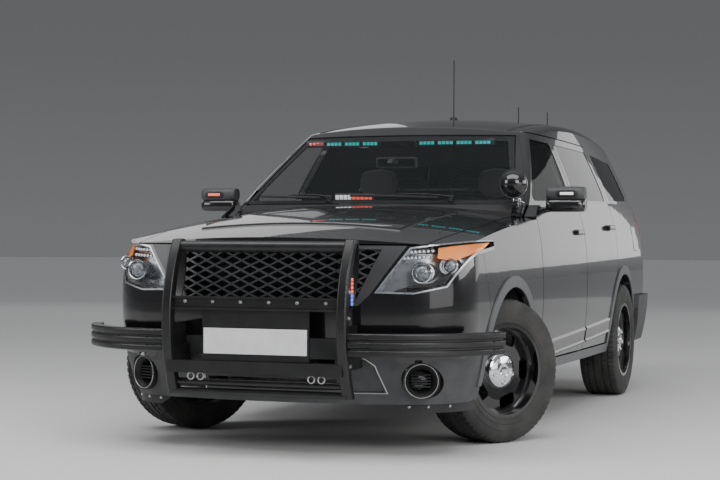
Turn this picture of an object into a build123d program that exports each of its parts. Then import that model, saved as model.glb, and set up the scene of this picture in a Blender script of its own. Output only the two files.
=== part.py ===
from build123d import *
import os

# A police patrol car: a tall four-door estate with a push bumper.
# Millimetres. It stands on z = 0, faces -Y, and +X is its left side.
# The origin is on the floor, midway between the two axles.

# Running gear
wheelbase = 2860
track = 1702
tyre_diameter = 727
tyre_width = 245
bead_diameter = 457
flange_radius = 240         # rim of the steel wheel
bead_half = 106             # half the width of the tyre between the wheel's flanges
hub_cap_radius = 88
spoke_count = 5
window_circle = 164         # middle of the five wheel windows
window_depth = 62
window_width = 104
steer_rest = 31             # degrees the front wheels are turned to the car's right
kingpin_inset = 51          # kingpin to the wheel's middle plane
front_axle_y = -wheelbase / 2
rear_axle_y = wheelbase / 2
axle_z = tyre_diameter / 2
kingpin_x = track / 2 - kingpin_inset

spindle_radius = 30
ball_gap = 0.5              # between a knuckle and the arm below it
bearing_play = 0.05         # between a spindle and its hub

# Painted body
body_width = 1954
front_overhang = 975        # front axle to the foremost paint
rear_overhang = 1125        # rear axle to the rearmost paint
roof_height = 1757
belt_front = 1212           # height of the window sill beside the mirror
belt_rear = 1262
belt_middle = 1250          # foot of the window frames at the middle pillar
sill_height = 312           # underside of the rocker
valance_height = 245        # underside of the front bumper
panel_gap = 7               # between panels that move and what is beside them
seam = 3                    # between panels that don't
skin = 8                    # outer layer of a door
door_wall = 90              # whole door below the windows
frame_wall = 42             # window frames, pillars and roof
fender_wall = 20
glass_thickness = 6
glass_depth = 3             # paint surface to glass surface
glass_lap = 12              # glass behind its frame on every side
inner_step = 20             # the inner layer of a door is smaller by this
front_arch = 420            # radius of the front wheel opening
rear_arch = 432
arch_band = 58              # width of the moulding round an arch
half_width = body_width / 2
nose_y = front_axle_y - front_overhang
tail_y = rear_axle_y + rear_overhang

# Where the side is divided, by y
door_front_y = front_axle_y + 580
pillar_y = 209              # shut line between the doors at their foot
rear_door_end = rear_axle_y - 215
door_foot = 372
pillar_half = 42            # half the width of the pillar behind the doors' shut line
pillar_room = 15            # between that pillar and the doors' inner layers

# Glass line and hood
windshield_foot = front_axle_y + 480
hood_nose_height = 985
hood_crown_radius = 5500
roof_crown_radius = 4450

# Push bumper and rear bumper
push_reach = 185            # how far the push bumper stands out from the paint
bumper_reach = 35           # how far the rear bumper does
push_half = 440             # middle of an upright
push_top = 1020
push_foot = 285
push_bulge = 650            # height where an upright stands furthest out
upright_width = 48
upright_depth = 58
top_back = 118              # how far an upright's ends lie behind its bulge
foot_back = 88
crossbar_height = 985
crossbar_radius = 28
channel_middle = 721
channel_rise = 62
rail_middle = 421
rail_rise = 58
bar_depth = 40
bar_back = 22               # front of the flat bars behind the bulge
tube_heights = (300, 345)
tube_radius = 17
plate_width = 520
plate_rise = 120
plate_middle = 544
plate_thickness = 6
bracket_width = 40
wing_foot = 487
wing_depth = 50
ridge_count = 3
ridge_rise = 30
groove_rise = 8
groove_depth = 9
wing_tip = 1085             # outer end of a wing
wing_reach = 500            # how far that end lies behind the bulge

# Lower body sections: height, narrower each side, nose further back, tail further forward
tub_sections = (
    (valance_height, 62, 85, 95),
    (520, 11, 6, 10),
    (800, 0, 0, 0),
    (1040, 19, 42, 22),
    (1275, 88, 112, 66),
)
# Greenhouse sections: height, half width, glass behind the windshield foot, back glass from the tail
cabin_sections = (
    (1120, 905, -155, 62),
    (1245, 889, 36, 87),
    (1460, 808, 350, 155),
    (1690, 702, 700, 245),
    (1800, 645, 860, 293),
)


def loft_form(sections, nose_bow, tail_bow, side_bow, nose_corner, tail_corner):
    """Closed form through plan outlines: height, half width, nose y, tail y."""
    with BuildPart() as form:
        for height, half, nose, tail in sections:
            front = (half - side_bow, nose + nose_bow)
            rear = (half - side_bow, tail - tail_bow)
            middle = (half, (front[1] + rear[1]) / 2)
            with BuildSketch(Plane.XY.offset(height)) as outline:
                with BuildLine():
                    ThreePointArc((-front[0], front[1]), (0, nose), front)
                    ThreePointArc(front, middle, rear)
                    ThreePointArc(rear, (0, tail), (-rear[0], rear[1]))
                    ThreePointArc((-rear[0], rear[1]), (-middle[0], middle[1]), (-front[0], front[1]))
                make_face()
                fillet(outline.vertices().group_by(Axis.Y)[0], nose_corner)
                fillet(outline.vertices().group_by(Axis.Y)[-1], tail_corner)
        loft()
    return form.part


def crowned_cut(start, middle, end, top, radius, lowered):
    """All that lies above a surface curved along the car and across it."""
    centre = middle[1] - radius
    swing = 24
    profile = [(y, z - lowered) for y, z in (start, middle, end)]
    with BuildPart() as above:
        with BuildSketch(Plane.YZ):
            with BuildLine():
                ThreePointArc(*profile)
                Polyline(profile[2], (profile[2][0], top), (profile[0][0], top), profile[0])
            make_face()
        revolve(axis=Axis((0, 0, centre), (0, 1, 0)), revolution_arc=2 * swing)
    return above.part.rotate(Axis((0, 0, centre), (0, 1, 0)), -swing)


def side_prism(outline, near, far, grow=0, corner=0):
    """Side-view outline (y, z) carried across the car from x = near to x = far."""
    with BuildPart() as prism:
        with BuildSketch(Plane.YZ.offset(near)) as flat:
            with BuildLine():
                Polyline(*outline, close=True)
            make_face()
            if grow:
                offset(amount=grow, kind=Kind.INTERSECTION)
            if corner:
                fillet(flat.vertices(), corner)
        extrude(amount=far - near)
    return prism.part


def front_prism(outline, rear, front, grow=0, corner=0):
    """Front-view outline (x, z) carried along the car from y = rear forward to y = front."""
    with BuildPart() as prism:
        with BuildSketch(Plane.XZ.offset(-rear)) as flat:
            with BuildLine():
                Polyline(*outline, close=True)
            make_face()
            if grow:
                offset(amount=grow, kind=Kind.INTERSECTION)
            if corner:
                fillet(flat.vertices(), corner)
        extrude(amount=rear - front)
    return prism.part


def plan_prism(outline, bottom, top, grow=0):
    """Plan outline (x, y) carried up from z = bottom to z = top."""
    with BuildPart() as prism:
        with BuildSketch(Plane.XY.offset(bottom)):
            with BuildLine():
                Polyline(*outline, close=True)
            make_face()
            if grow:
                offset(amount=grow, kind=Kind.INTERSECTION)
        extrude(amount=top - bottom)
    return prism.part


def box_between(low, high):
    """Block given by its lowest and highest corners."""
    with BuildPart() as block:
        with Locations([(Vector(*low) + Vector(*high)) / 2]):
            Box(high[0] - low[0], high[1] - low[1], high[2] - low[2])
    return block.part


def cross_cylinder(y, z, radius, near, far):
    """Cylinder along X from x = near to x = far."""
    with BuildPart() as drum:
        with BuildSketch(Plane.YZ.offset(near)):
            with Locations((y, z)):
                Circle(radius)
        extrude(amount=far - near)
    return drum.part


def kept(base, *tools):
    """What all the forms have in common."""
    with BuildPart() as part:
        add(base)
        for tool in tools:
            add(tool, mode=Mode.INTERSECT)
    return part.part


def cut(base, *tools):
    """The first form with the others taken away."""
    with BuildPart() as part:
        add(base)
        for tool in tools:
            add(tool, mode=Mode.SUBTRACT)
    return part.part


def fused(*forms):
    """Forms joined as one."""
    with BuildPart() as part:
        for form in forms:
            add(form)
    return part.part


def mirrored(form):
    """The same form on the other side of the car."""
    with BuildPart() as other:
        mirror(form, about=Plane.YZ)
    return other.part


def finish(name, form):
    """Label a finished piece and write it to its own file."""
    with BuildPart() as piece:
        add(form)
    piece.part.label = name
    export_step(piece.part, f"parts/{name}.step")


def pair(name, form):
    """Write a left piece and its mirrored right twin."""
    finish(f"{name}_left", form)
    finish(f"{name}_right", mirrored(form))


def tube(points, radius, bend):
    """Round tube through points, bent with one radius."""
    with BuildPart() as pipe:
        with BuildLine() as path:
            FilletPolyline(*points, radius=bend)
        start = path.line @ 0
        with BuildSketch(Plane(origin=start, z_dir=path.line % 0)):
            Circle(radius)
        sweep()
    return pipe.part


def soft_block(low, high, radius):
    """Block with all its edges rounded."""
    with BuildPart() as block:
        add(box_between(low, high))
        fillet(block.edges(), radius)
    return block.part


def tub_form(inset):
    """Lower body, `inset` mm inside the paint; a negative inset stands proud of it."""
    sections = [
        (height, half_width - narrower - inset, nose_y + nose_back + inset, tail_y - tail_in - inset)
        for height, narrower, nose_back, tail_in in tub_sections
    ]
    form = loft_form(sections, 170, 90, 57, max(330 - inset, 40), max(220 - inset, 40))
    hood_line = crowned_cut((nose_y - 195, hood_nose_height), (nose_y + 705, 1135), (hood_rear_y, 1210),
                            roof_height, hood_crown_radius, inset)
    belt_line = side_prism(((hood_rear_y - 2, 1146), (door_front_y + 98, belt_front),
                            (rear_axle_y, belt_rear),
                            (tail_y + 200, belt_rear + 4), (tail_y + 200, roof_height),
                            (hood_rear_y - 2, roof_height)), -half_width - 100, half_width + 100)
    return cut(form, hood_line, belt_line)


def cabin_form(inset):
    """Greenhouse, `inset` mm inside its surface."""
    sections = [
        (height, half - inset, windshield_foot + glass_back + inset, tail_y - tail_in - inset)
        for height, half, glass_back, tail_in in cabin_sections
    ]
    form = loft_form(sections, 165, 80, 52, max(130 - inset, 30), max(180 - inset, 40))
    roof_line = crowned_cut((windshield_foot + 400, 1628), (350, roof_height), (tail_y, 1655),
                            roof_height + 300, roof_crown_radius, inset)
    with BuildPart() as cabin:
        add(cut(form, roof_line))
        top = cabin.faces().sort_by(Axis.Z)[-1]
        fillet(top.edges(), max(65 - inset, 12))
    return cabin.part


def body_form(lower, upper):
    """Whole closed body, `lower` mm inside the paint below the windows and `upper` mm above."""
    return fused(tub_form(lower), cabin_form(upper))


def wheel_space(axle_y, radius, inner_x=500):
    """Room for a left wheel, open to the outside."""
    return cross_cylinder(axle_y, axle_z, radius, inner_x, half_width + 120)


os.makedirs("parts", exist_ok=True)
hood_rear_y = door_front_y - 10
left_side = box_between((0, nose_y - 300, 0), (half_width + 100, tail_y + 300, roof_height + 100))

# Forms that the panels are cut from
painted = body_form(0, 0)
under_skin = body_form(skin, skin)
inner_wall = body_form(door_wall, frame_wall)
glass_front = cabin_form(glass_depth)
glass_back = cabin_form(glass_depth + glass_thickness)
tub_painted = tub_form(0)
tub_inner = tub_form(fender_wall)
painted_left = kept(painted, left_side)
under_skin_left = kept(under_skin, left_side)
inner_wall_left = kept(inner_wall, left_side)

# Door outlines in side view
front_handle = (948, pillar_y - 225, 1052)
rear_handle = (944, rear_door_end - 290, 1085)
front_door_line = (
    (door_front_y, door_foot), (door_front_y, 1160), (door_front_y + 98, belt_front + 5),
    (door_front_y + 700, 1648), (pillar_y + 130, 1640), (pillar_y + 14, belt_middle),
    (pillar_y - 4, door_foot),
)
rear_door_line = (
    (pillar_y + 4, door_foot), (pillar_y + 22, belt_middle), (pillar_y + 138, 1640),
    (rear_door_end - 22, 1622),
    (rear_door_end + 34, belt_rear), (rear_door_end, 900), (rear_door_end, door_foot),
)
front_window = (
    (door_front_y + 195, belt_front + 26), (pillar_y - 52, belt_middle), (pillar_y + 52, 1600),
    (door_front_y + 742, 1608),
)
rear_window = (
    (pillar_y + 78, 1256), (rear_door_end - 42, belt_rear + 8), (rear_door_end - 78, 1585),
    (pillar_y + 176, 1598),
)
quarter_window = (
    (rear_door_end + 118, belt_rear + 12), (rear_door_end + 850, belt_rear + 26),
    (rear_door_end + 735, 1545), (rear_door_end + 66, 1578),
)
windshield_line = (
    (-800, 1212), (800, 1212), (640, 1628), (-640, 1628),
)
side_reach = (650, half_width + 100)   # doors and side glass lie between these

# Tailgate and lamps
gate_top = 1642
tailgate_line = (
    (-655, 668), (655, 668), (705, 985), (708, 1240), (614, gate_top), (-614, gate_top), (-708, 1240),
    (-705, 985),
)
back_window = (
    (-640, 1285), (640, 1285), (552, 1585), (-552, 1585),
)
tail_lamp_line = (
    (tail_y - 400, 1150), (tail_y - 330, 1225), (tail_y + 50, 1215), (tail_y + 50, 990), (tail_y - 250, 1010),
)
rear_bumper_line = (
    (rear_axle_y + 380, 200), (rear_axle_y + 470, 640), (tail_y + 200, 640), (tail_y + 200, 200),
)
tailgate_reach = (rear_axle_y + 700, tail_y + 120)

# Front of the car
lamp_depth = 70
lamp_rim = 7                # edge of a headlamp's housing
projector_places = ((735, 868), (842, 900))
projector_radius = 44
grille_middle = 852
mesh_pitch = 96             # between bars that lean the same way
mesh_bar = 9
mesh_angle = 25
mesh_length = 640
mesh_bars_each = 8
intake_slots = 5            # slots of the lower intake
intake_half = 330
intake_foot = 310
slot_rise = 20
slot_pitch = 32
pocket_line = (
    (350, 300), (560, 300), (515, 430), (470, 462), (350, 462),
)
pocket_depth = 9
hood_edge = 1001            # height of the hood's front edge
bumper_top = hood_edge - panel_gap
dome_rise = 9               # raised middle of the hood
dome_flank = 25
hood_dome = (
    (-600, nose_y + 330), (600, nose_y + 330), (700, hood_rear_y - 150), (-700, hood_rear_y - 150),
)
grille_line = (
    (-670, 1010), (670, 1010), (500, 765), (445, 712), (-445, 712), (-500, 765),
)
mesh_line = (
    (-545, 976), (545, 976), (430, 728), (-430, 728),
)
headlamp_line = (
    (520, 772), (672, 986), (800, 1005), (948, 1026), (925, 960), (838, 800), (700, 768),
)
bumper_seam = (
    (front_axle_y - 494, bumper_top), (front_axle_y - 455, 830), (front_axle_y - 330, 560),
    (front_axle_y - 330, 200),
    (nose_y - 300, 200), (nose_y - 300, bumper_top),
)
hood_plan = (
    (-800, hood_rear_y - 30), (-560, hood_rear_y - 78), (0, hood_rear_y - 130), (560, hood_rear_y - 78),
    (800, hood_rear_y - 30), (815, front_axle_y - 100), (745, front_axle_y - 760), (745, nose_y - 100),
    (-745, nose_y - 100), (-745, front_axle_y - 760), (-815, front_axle_y - 100),
)


pillar_middle = (
    (pillar_y, sill_height + 2 * panel_gap), (pillar_y + 18, belt_middle), (pillar_y + 134, 1640),
    (pillar_y + 152, 1700),
)
pillar_line = [(y - pillar_half, z) for y, z in pillar_middle]
pillar_line += [(y + pillar_half, z) for y, z in pillar_middle[::-1]]


def door(outline, window, arch_radius, handle_x, handle_y, handle_z):
    """A left door: thin outer layer, smaller inner layer, window cut out."""
    near, far = side_reach
    whole = side_prism(outline, near, far)
    inner = cut(side_prism(outline, near, far, grow=-inner_step),
                side_prism(pillar_line, near, far, grow=pillar_room))
    if arch_radius:
        whole = cut(whole, cross_cylinder(rear_axle_y, axle_z, arch_radius, near, far))
        inner = cut(inner, cross_cylinder(rear_axle_y, axle_z, arch_radius + inner_step, near, far))
    rim = kept(under_skin_left, cut(whole, inner))
    handle = cut(soft_block((handle_x - 30, handle_y, handle_z),
                            (handle_x + 26, handle_y + 190, handle_z + 30), 9),
                 box_between((handle_x - 40, handle_y + 28, handle_z - 5),
                             (handle_x + 10, handle_y + 162, handle_z + 40)))
    pane = window_pane(window)
    window_hole = side_prism(window, near, far, corner=22)
    panel = cut(kept(painted_left, whole), rim, inner_wall_left, window_hole, pane)
    return fused(panel, handle), pane


def window_pane(window):
    """Glass of a left side window, lapped behind its frame."""
    return cut(kept(glass_front, side_prism(window, *side_reach, grow=glass_lap, corner=30)), glass_back)


door_arch = rear_arch + arch_band + panel_gap
front_door, front_pane = door(front_door_line, front_window, 0, *front_handle)
rear_door, rear_pane = door(rear_door_line, rear_window, door_arch, *rear_handle)
pair("door_front", front_door)
pair("door_glass_front", front_pane)
pair("door_rear", rear_door)
pair("door_glass_rear", rear_pane)

# Body sides: rockers, pillars and rear quarters
roof_plan = (
    (-640, windshield_foot + 500), (640, windshield_foot + 500), (640, tail_y), (-640, tail_y),
)
roof_zone = plan_prism(roof_plan, 1560, roof_height + 100)
windshield_zone = front_prism(windshield_line, pillar_y - 200, nose_y)
tailgate_zone = front_prism(tailgate_line, *tailgate_reach)
tailgate_hole = front_prism(tailgate_line, tailgate_reach[0], tail_y + 200, grow=panel_gap)
front_door_hole = side_prism(front_door_line, *side_reach, grow=panel_gap)
rear_door_hole = cut(side_prism(rear_door_line, *side_reach, grow=panel_gap),
                     cross_cylinder(rear_axle_y, axle_z, door_arch - panel_gap, *side_reach))
quarter_pane = window_pane(quarter_window)
rear_bumper_zone = side_prism(rear_bumper_line, -half_width - 100, half_width + 100)
lamp_zone = side_prism(tail_lamp_line, 715, half_width + 100)
side_zone = side_prism(((door_front_y - panel_gap, sill_height), (tail_y + 100, sill_height),
                        (tail_y + 100, roof_height + 50), (door_front_y - panel_gap, roof_height + 50)),
                       0, half_width + 100)
body_side = cut(kept(painted_left, side_zone), inner_wall_left, roof_zone, windshield_zone, tailgate_hole,
                front_door_hole, rear_door_hole, side_prism(quarter_window, *side_reach, corner=22),
                quarter_pane,
                side_prism(rear_bumper_line, 0, half_width + 100, grow=seam), lamp_zone,
                wheel_space(rear_axle_y, rear_arch, 0),
                box_between((0, door_front_y - 100, 1100), (790, windshield_foot + 300, 1300)))
pillar = cut(kept(under_skin_left, side_prism(pillar_line, *side_reach)), inner_wall_left, roof_zone)
pair("body_side", fused(body_side, pillar.moved(Location((-panel_gap, 0, -panel_gap)))))
finish("quarter_glass", fused(quarter_pane, mirrored(quarter_pane)))
finish("roof_panel", cut(kept(painted, roof_zone), inner_wall, windshield_zone, tailgate_hole))
windshield = cut(kept(glass_front, front_prism(windshield_line, pillar_y - 200, nose_y, corner=40)),
                 glass_back)
finish("windshield", windshield)

# Tailgate with its window
back_pane = cut(kept(glass_front, front_prism(back_window, *tailgate_reach, grow=glass_lap, corner=40)),
                glass_back)
tailgate = cut(kept(painted, tailgate_zone), inner_wall, front_prism(back_window, *tailgate_reach, corner=32),
               back_pane)
finish("tailgate", tailgate)
finish("tailgate_glass", back_pane)
lamp_wall = cut(kept(painted_left, lamp_zone), tub_form(60))
finish("tail_lamps", fused(lamp_wall, mirrored(lamp_wall)))
rear_bumper = kept(tub_form(-bumper_reach), rear_bumper_zone,
                   box_between((-1200, 0, 330), (1200, tail_y + 200, 640)))
rear_bumper = cut(rear_bumper, tub_form(40),
                  cross_cylinder(rear_axle_y, axle_z, rear_arch + arch_band, -1200, 1200))
finish("rear_bumper", rear_bumper)

# Hood, fenders and front bumper
hood_zone = plan_prism(hood_plan, hood_edge, 1300)
hood_hole = plan_prism(hood_plan, hood_edge - panel_gap, 1300, grow=panel_gap)
with BuildPart() as dome_zone:
    with BuildSketch(Plane.XY.offset(hood_edge - 100)):
        with BuildLine():
            Polyline(*hood_dome, close=True)
        make_face()
    extrude(amount=320, taper=dome_flank)
hood_dome_form = kept(tub_form(-dome_rise), dome_zone.part, hood_zone)
finish("hood", cut(fused(kept(tub_painted, hood_zone), hood_dome_form), tub_form(28)))
cowl_half = 790
cowl_zone = box_between((-cowl_half - seam, hood_rear_y - 170, 1100),
                        (cowl_half + seam, windshield_foot + 300, 1236))
grille_zone = front_prism(grille_line, front_axle_y - 500, nose_y - 100)
headlamp_zone = front_prism(headlamp_line, front_axle_y - 300, nose_y - 100)
bumper_zone = side_prism(bumper_seam, -half_width - 100, half_width + 100)
front_shell = cut(tub_painted, tub_inner)
fender = cut(kept(front_shell, box_between((500, nose_y - 50, sill_height),
                                           (half_width + 50, door_front_y - panel_gap, 1300))),
             hood_hole, headlamp_zone, side_prism(bumper_seam, 0, half_width + 100, grow=seam),
             wheel_space(front_axle_y, front_arch, 0), cowl_zone)
pair("fender", fender)
front_bumper = cut(kept(front_shell, bumper_zone,
                        box_between((-1200, nose_y - 50, 560), (1200, 0, bumper_top))),
                   hood_hole, grille_zone, headlamp_zone, mirrored(headlamp_zone),
                   cross_cylinder(front_axle_y, axle_z, front_arch, -1200, 1200))
finish("front_bumper", front_bumper)
fog_places = [(-720, 360), (720, 360)]
with BuildPart() as front_bumper_lower:
    add(kept(front_shell, bumper_zone, box_between((-1200, nose_y - 50, 245), (1200, 0, 560 - seam))))
    add(cross_cylinder(front_axle_y, axle_z, front_arch, -1200, 1200), mode=Mode.SUBTRACT)
    with BuildSketch(Plane.XZ.offset(-front_axle_y)):
        with Locations(fog_places):
            Circle(88)
    extrude(amount=1200, mode=Mode.SUBTRACT)
    for i in range(intake_slots):
        height = intake_foot + i * slot_pitch
        add(box_between((-intake_half, nose_y - 50, height),
                        (intake_half, front_axle_y - 500, height + slot_rise)),
            mode=Mode.SUBTRACT)
    pocket = cut(front_prism(pocket_line, front_axle_y - 500, nose_y - 50, corner=22), tub_form(pocket_depth))
    add(pocket, mode=Mode.SUBTRACT)
    add(mirrored(pocket), mode=Mode.SUBTRACT)
finish("front_bumper_lower", front_bumper_lower.part)
with BuildPart() as mesh_bars:
    with BuildSketch(Plane.XZ.offset(-front_axle_y + 500)):
        for lean in (-mesh_angle, mesh_angle):
            for i in range(-mesh_bars_each, mesh_bars_each + 1):
                with Locations((i * mesh_pitch, grille_middle)):
                    Rectangle(mesh_length, mesh_bar, rotation=lean)
    extrude(amount=700)
mesh_zone = front_prism(mesh_line, front_axle_y - 500, nose_y - 100)
grille_mesh = kept(cut(kept(tub_form(fender_wall / 2), mesh_zone), tub_inner), mesh_bars.part)
grille_frame = cut(kept(front_shell, grille_zone), mesh_zone, hood_hole)
finish("grille", fused(grille_frame, grille_mesh))
lamp_recess = kept(front_prism(headlamp_line, front_axle_y - 300, nose_y - 100, grow=-lamp_rim),
                   tub_form(-20))
headlamp = cut(kept(tub_painted, headlamp_zone), tub_form(lamp_depth), hood_hole,
               cut(lamp_recess, tub_form(lamp_depth - 12)))
with BuildPart() as projectors:
    with BuildSketch(Plane.XZ.offset(-front_axle_y + 300)):
        with Locations(*projector_places):
            Circle(projector_radius)
            Circle(projector_radius - 8, mode=Mode.SUBTRACT)
    extrude(amount=800)
headlamp = fused(headlamp, kept(cut(kept(tub_form(14), lamp_recess), tub_form(lamp_depth)), projectors.part))
finish("headlamps", fused(headlamp, mirrored(headlamp)))
cowl = cut(kept(painted, box_between((-cowl_half, hood_rear_y - 170, 1100),
                                     (cowl_half, windshield_foot + 300, 1236))),
           body_form(30, 30), windshield_zone, hood_hole)
finish("cowl_panel", cowl)

# Underside
riser_y = rear_axle_y - 220
load_floor = 580
floor = kept(tub_form(door_wall + panel_gap + seam), fused(
    box_between((-1000, front_axle_y + 480, sill_height), (1000, riser_y, sill_height + 60)),
    box_between((-1000, riser_y - 40, sill_height), (1000, riser_y, load_floor)),
    box_between((-1000, riser_y - 40, load_floor - 40), (1000, tail_y - 150, load_floor))))
firewall = kept(tub_form(door_wall + seam), box_between((-1000, front_axle_y + 480, sill_height),
                                                       (1000, front_axle_y + 520, 1090)))
floor_pan = cut(fused(floor, firewall), wheel_space(rear_axle_y, rear_arch + 12, 500),
                mirrored(wheel_space(rear_axle_y, rear_arch + 12, 500)),
                wheel_space(front_axle_y, front_arch + 12, 500),
                mirrored(wheel_space(front_axle_y, front_arch + 12, 500)))
finish("floor_pan", floor_pan)


def wheel_parts(axle_y):
    """A left tyre and its wheel, standing straight."""
    half = tyre_width / 2
    outer = tyre_diameter / 2
    bead = bead_diameter / 2
    centre = track / 2
    with BuildPart() as tyre:
        with BuildSketch(Plane.XY):
            with BuildLine():
                Polyline((centre - 100, outer), (centre + 100, outer), (centre + half - 5, outer - 22),
                         (centre + half, outer - 72), (centre + bead_half, flange_radius + ball_gap),
                         (centre + bead_half, bead), (centre - bead_half, bead),
                         (centre - bead_half, flange_radius + ball_gap), (centre - half, outer - 72),
                         (centre - half + 5, outer - 22), close=True)
            make_face()
        revolve(axis=Axis.X)
    bore = spindle_radius + bearing_play
    well = bead - 7
    with BuildPart() as wheel:
        with BuildSketch(Plane.XY):
            with BuildLine():
                Polyline((centre + 113, flange_radius), (centre + 107, flange_radius), (centre + 107, bead),
                         (centre - 107, bead), (centre - 107, flange_radius), (centre - 113, flange_radius),
                         (centre - 113, well), (centre + 34, well), (centre + 50, 150), (centre + 44, 84),
                         (centre - 20, 75), (centre - 20, bore), (centre + 42, bore), (centre + 42, 0),
                         (centre + 82, 0), (centre + 76, hub_cap_radius - 18), (centre + 58, hub_cap_radius),
                         (centre + 64, 150), (centre + 52, well - 8), (centre + 66, well),
                         (centre + 113, well),
                         close=True)
            make_face()
        revolve(axis=Axis.X)
        with BuildSketch(Plane.YZ.offset(centre + 100)):
            with PolarLocations(window_circle, spoke_count):
                RectangleRounded(window_depth, window_width, 18)
        extrude(amount=-120, mode=Mode.SUBTRACT)
    place = Location((0, axle_y, axle_z))
    return tyre.part.moved(place), wheel.part.moved(place)


def steered(form, side):
    """Turn a front piece about its kingpin to the angle in the picture."""
    return form.rotate(Axis((side * kingpin_x, front_axle_y, 0), (0, 0, 1)), -steer_rest)


front_tyre, front_wheel = wheel_parts(front_axle_y)
rear_tyre, rear_wheel = wheel_parts(rear_axle_y)
arm_height = axle_z - 135   # top of the lower arms at the kingpin
with BuildPart() as knuckle:
    add(cross_cylinder(front_axle_y, axle_z, 55, kingpin_x - 75, track / 2 - 28))
    add(cross_cylinder(front_axle_y, axle_z, spindle_radius, kingpin_x - 60, track / 2 + 38))
    with Locations((kingpin_x - 45, front_axle_y, axle_z)):
        Cylinder(25, 2 * (axle_z - arm_height) - 2 * ball_gap)
    add(box_between((kingpin_x - 60, front_axle_y - 15, arm_height + ball_gap),
                    (kingpin_x + 15, front_axle_y + 15, arm_height + 25)))
for side_name, side in (("left", 1), ("right", -1)):
    for name, form in (("tyre_front", front_tyre), ("wheel_front", front_wheel), ("knuckle", knuckle.part)):
        shaped = form if side > 0 else mirrored(form)
        finish(f"{name}_{side_name}", steered(shaped, side))
    for name, form in (("tyre_rear", rear_tyre), ("wheel_rear", rear_wheel)):
        finish(f"{name}_{side_name}", form if side > 0 else mirrored(form))


# Wheel wells and mouldings
def liner(axle_y, radius):
    """Left wheel well: a thin arch with an inner wall."""
    barrel = cut(cross_cylinder(axle_y, axle_z, radius, well_depth, half_width - 60),
                 cross_cylinder(axle_y, axle_z, radius - 5, well_depth + 5, half_width - 40),
                 cross_cylinder(axle_y, axle_z, 150, well_depth - 20, well_depth + 20),
                 box_between((0, axle_y - 600, -200), (half_width + 100, axle_y + 600, axle_z + 30)))
    return barrel


well_depth = 505
liner_gap = 0.5             # between a wheel well and the panels round it
liners = fused(liner(front_axle_y, front_arch - liner_gap), liner(rear_axle_y, rear_arch - liner_gap))
finish("wheel_liners", fused(liners, mirrored(liners)))
clad_skin = kept(cut(tub_form(-8), tub_painted), left_side, box_between((0, nose_y, sill_height),
                                                                       (half_width + 50, tail_y, 1000)))
rocker_zone = box_between((700, front_axle_y + 300, sill_height),
                          (half_width + 50, rear_axle_y - 300, door_foot - panel_gap))
arch_zone = cut(fused(cross_cylinder(front_axle_y, axle_z, front_arch + arch_band, 700, half_width + 50),
                      cross_cylinder(rear_axle_y, axle_z, rear_arch + arch_band, 700, half_width + 50),
                      rocker_zone),
                wheel_space(front_axle_y, front_arch, 600), wheel_space(rear_axle_y, rear_arch, 600))
cladding = cut(kept(clad_skin, arch_zone), rear_bumper_zone)
finish("side_cladding", fused(cladding, mirrored(cladding)))

# Push bumper
push_front = nose_y - push_reach
bar_front = push_front + bar_back
bar_rear = bar_front + bar_depth
plate_front = push_front + 40


def flat_bar(middle, rise):
    """Bar of the push bumper from upright to upright."""
    return box_between((-push_half, bar_front, middle - rise / 2), (push_half, bar_rear, middle + rise / 2))


with BuildPart() as upright:
    with BuildSketch(Plane.YZ.offset(push_half - upright_width / 2)):
        with BuildLine():
            face = ThreePointArc((push_front + top_back, push_top), (push_front, push_bulge),
                                 (push_front + foot_back, push_foot))
            back = ThreePointArc((push_front + foot_back + upright_depth, push_foot),
                                 (push_front + upright_depth, push_bulge),
                                 (push_front + top_back + upright_depth, push_top))
            Line(face @ 1, back @ 0)
            Line(back @ 1, face @ 0)
        make_face()
    extrude(amount=upright_width)
    fillet(upright.edges().filter_by(GeomType.CIRCLE), 10)
    add(box_between((push_half - bracket_width / 2, bar_rear, rail_middle),
                    (push_half + bracket_width / 2, nose_y + 60, wing_foot + ridge_rise)))
    add(box_between((push_half - 4, push_front + 30, wing_foot),
                    (push_half + 4, nose_y + 60, plate_middle + 80)))
with BuildPart() as push_bumper:
    add(upright.part)
    mirror(upright.part, about=Plane.YZ)
    add(cross_cylinder(push_front + top_back + upright_depth / 3, crossbar_height, crossbar_radius,
                       -push_half, push_half))
    add(cut(flat_bar(channel_middle, channel_rise),
            box_between((-push_half, bar_front - 1, channel_middle - channel_rise / 2 + 9),
                        (push_half, bar_front + 14, channel_middle + channel_rise / 2 - 9))))
    add(flat_bar(rail_middle, rail_rise))
    for height in tube_heights:
        add(cross_cylinder(push_front + 95, height, tube_radius, -push_half, push_half))
    add(box_between((-plate_width / 2 - 10, plate_front + plate_thickness, rail_middle),
                    (plate_width / 2 + 10, plate_front + plate_thickness + 8, channel_middle)))
finish("push_bumper", cut(push_bumper.part, tub_painted))
finish("front_plate", box_between((-plate_width / 2, plate_front, plate_middle - plate_rise / 2),
                                  (plate_width / 2, plate_front + plate_thickness,
                                   plate_middle + plate_rise / 2)))
wing_start = push_half + upright_width / 2
wing_front = push_front + 25
wing_end = (wing_tip, push_front + wing_reach)
with BuildSketch(Plane.XY) as wing_plan:
    with BuildLine():
        outer = ThreePointArc((wing_start, wing_front), (860, wing_front + 145), wing_end)
        inner = ThreePointArc((wing_end[0] - wing_depth, wing_end[1] + 15), (830, wing_front + 193),
                              (wing_start, wing_front + wing_depth))
        Line(outer @ 1, inner @ 0)
        Line(inner @ 1, outer @ 0)
    make_face()
wing_rise = ridge_count * ridge_rise + (ridge_count - 1) * groove_rise
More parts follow.
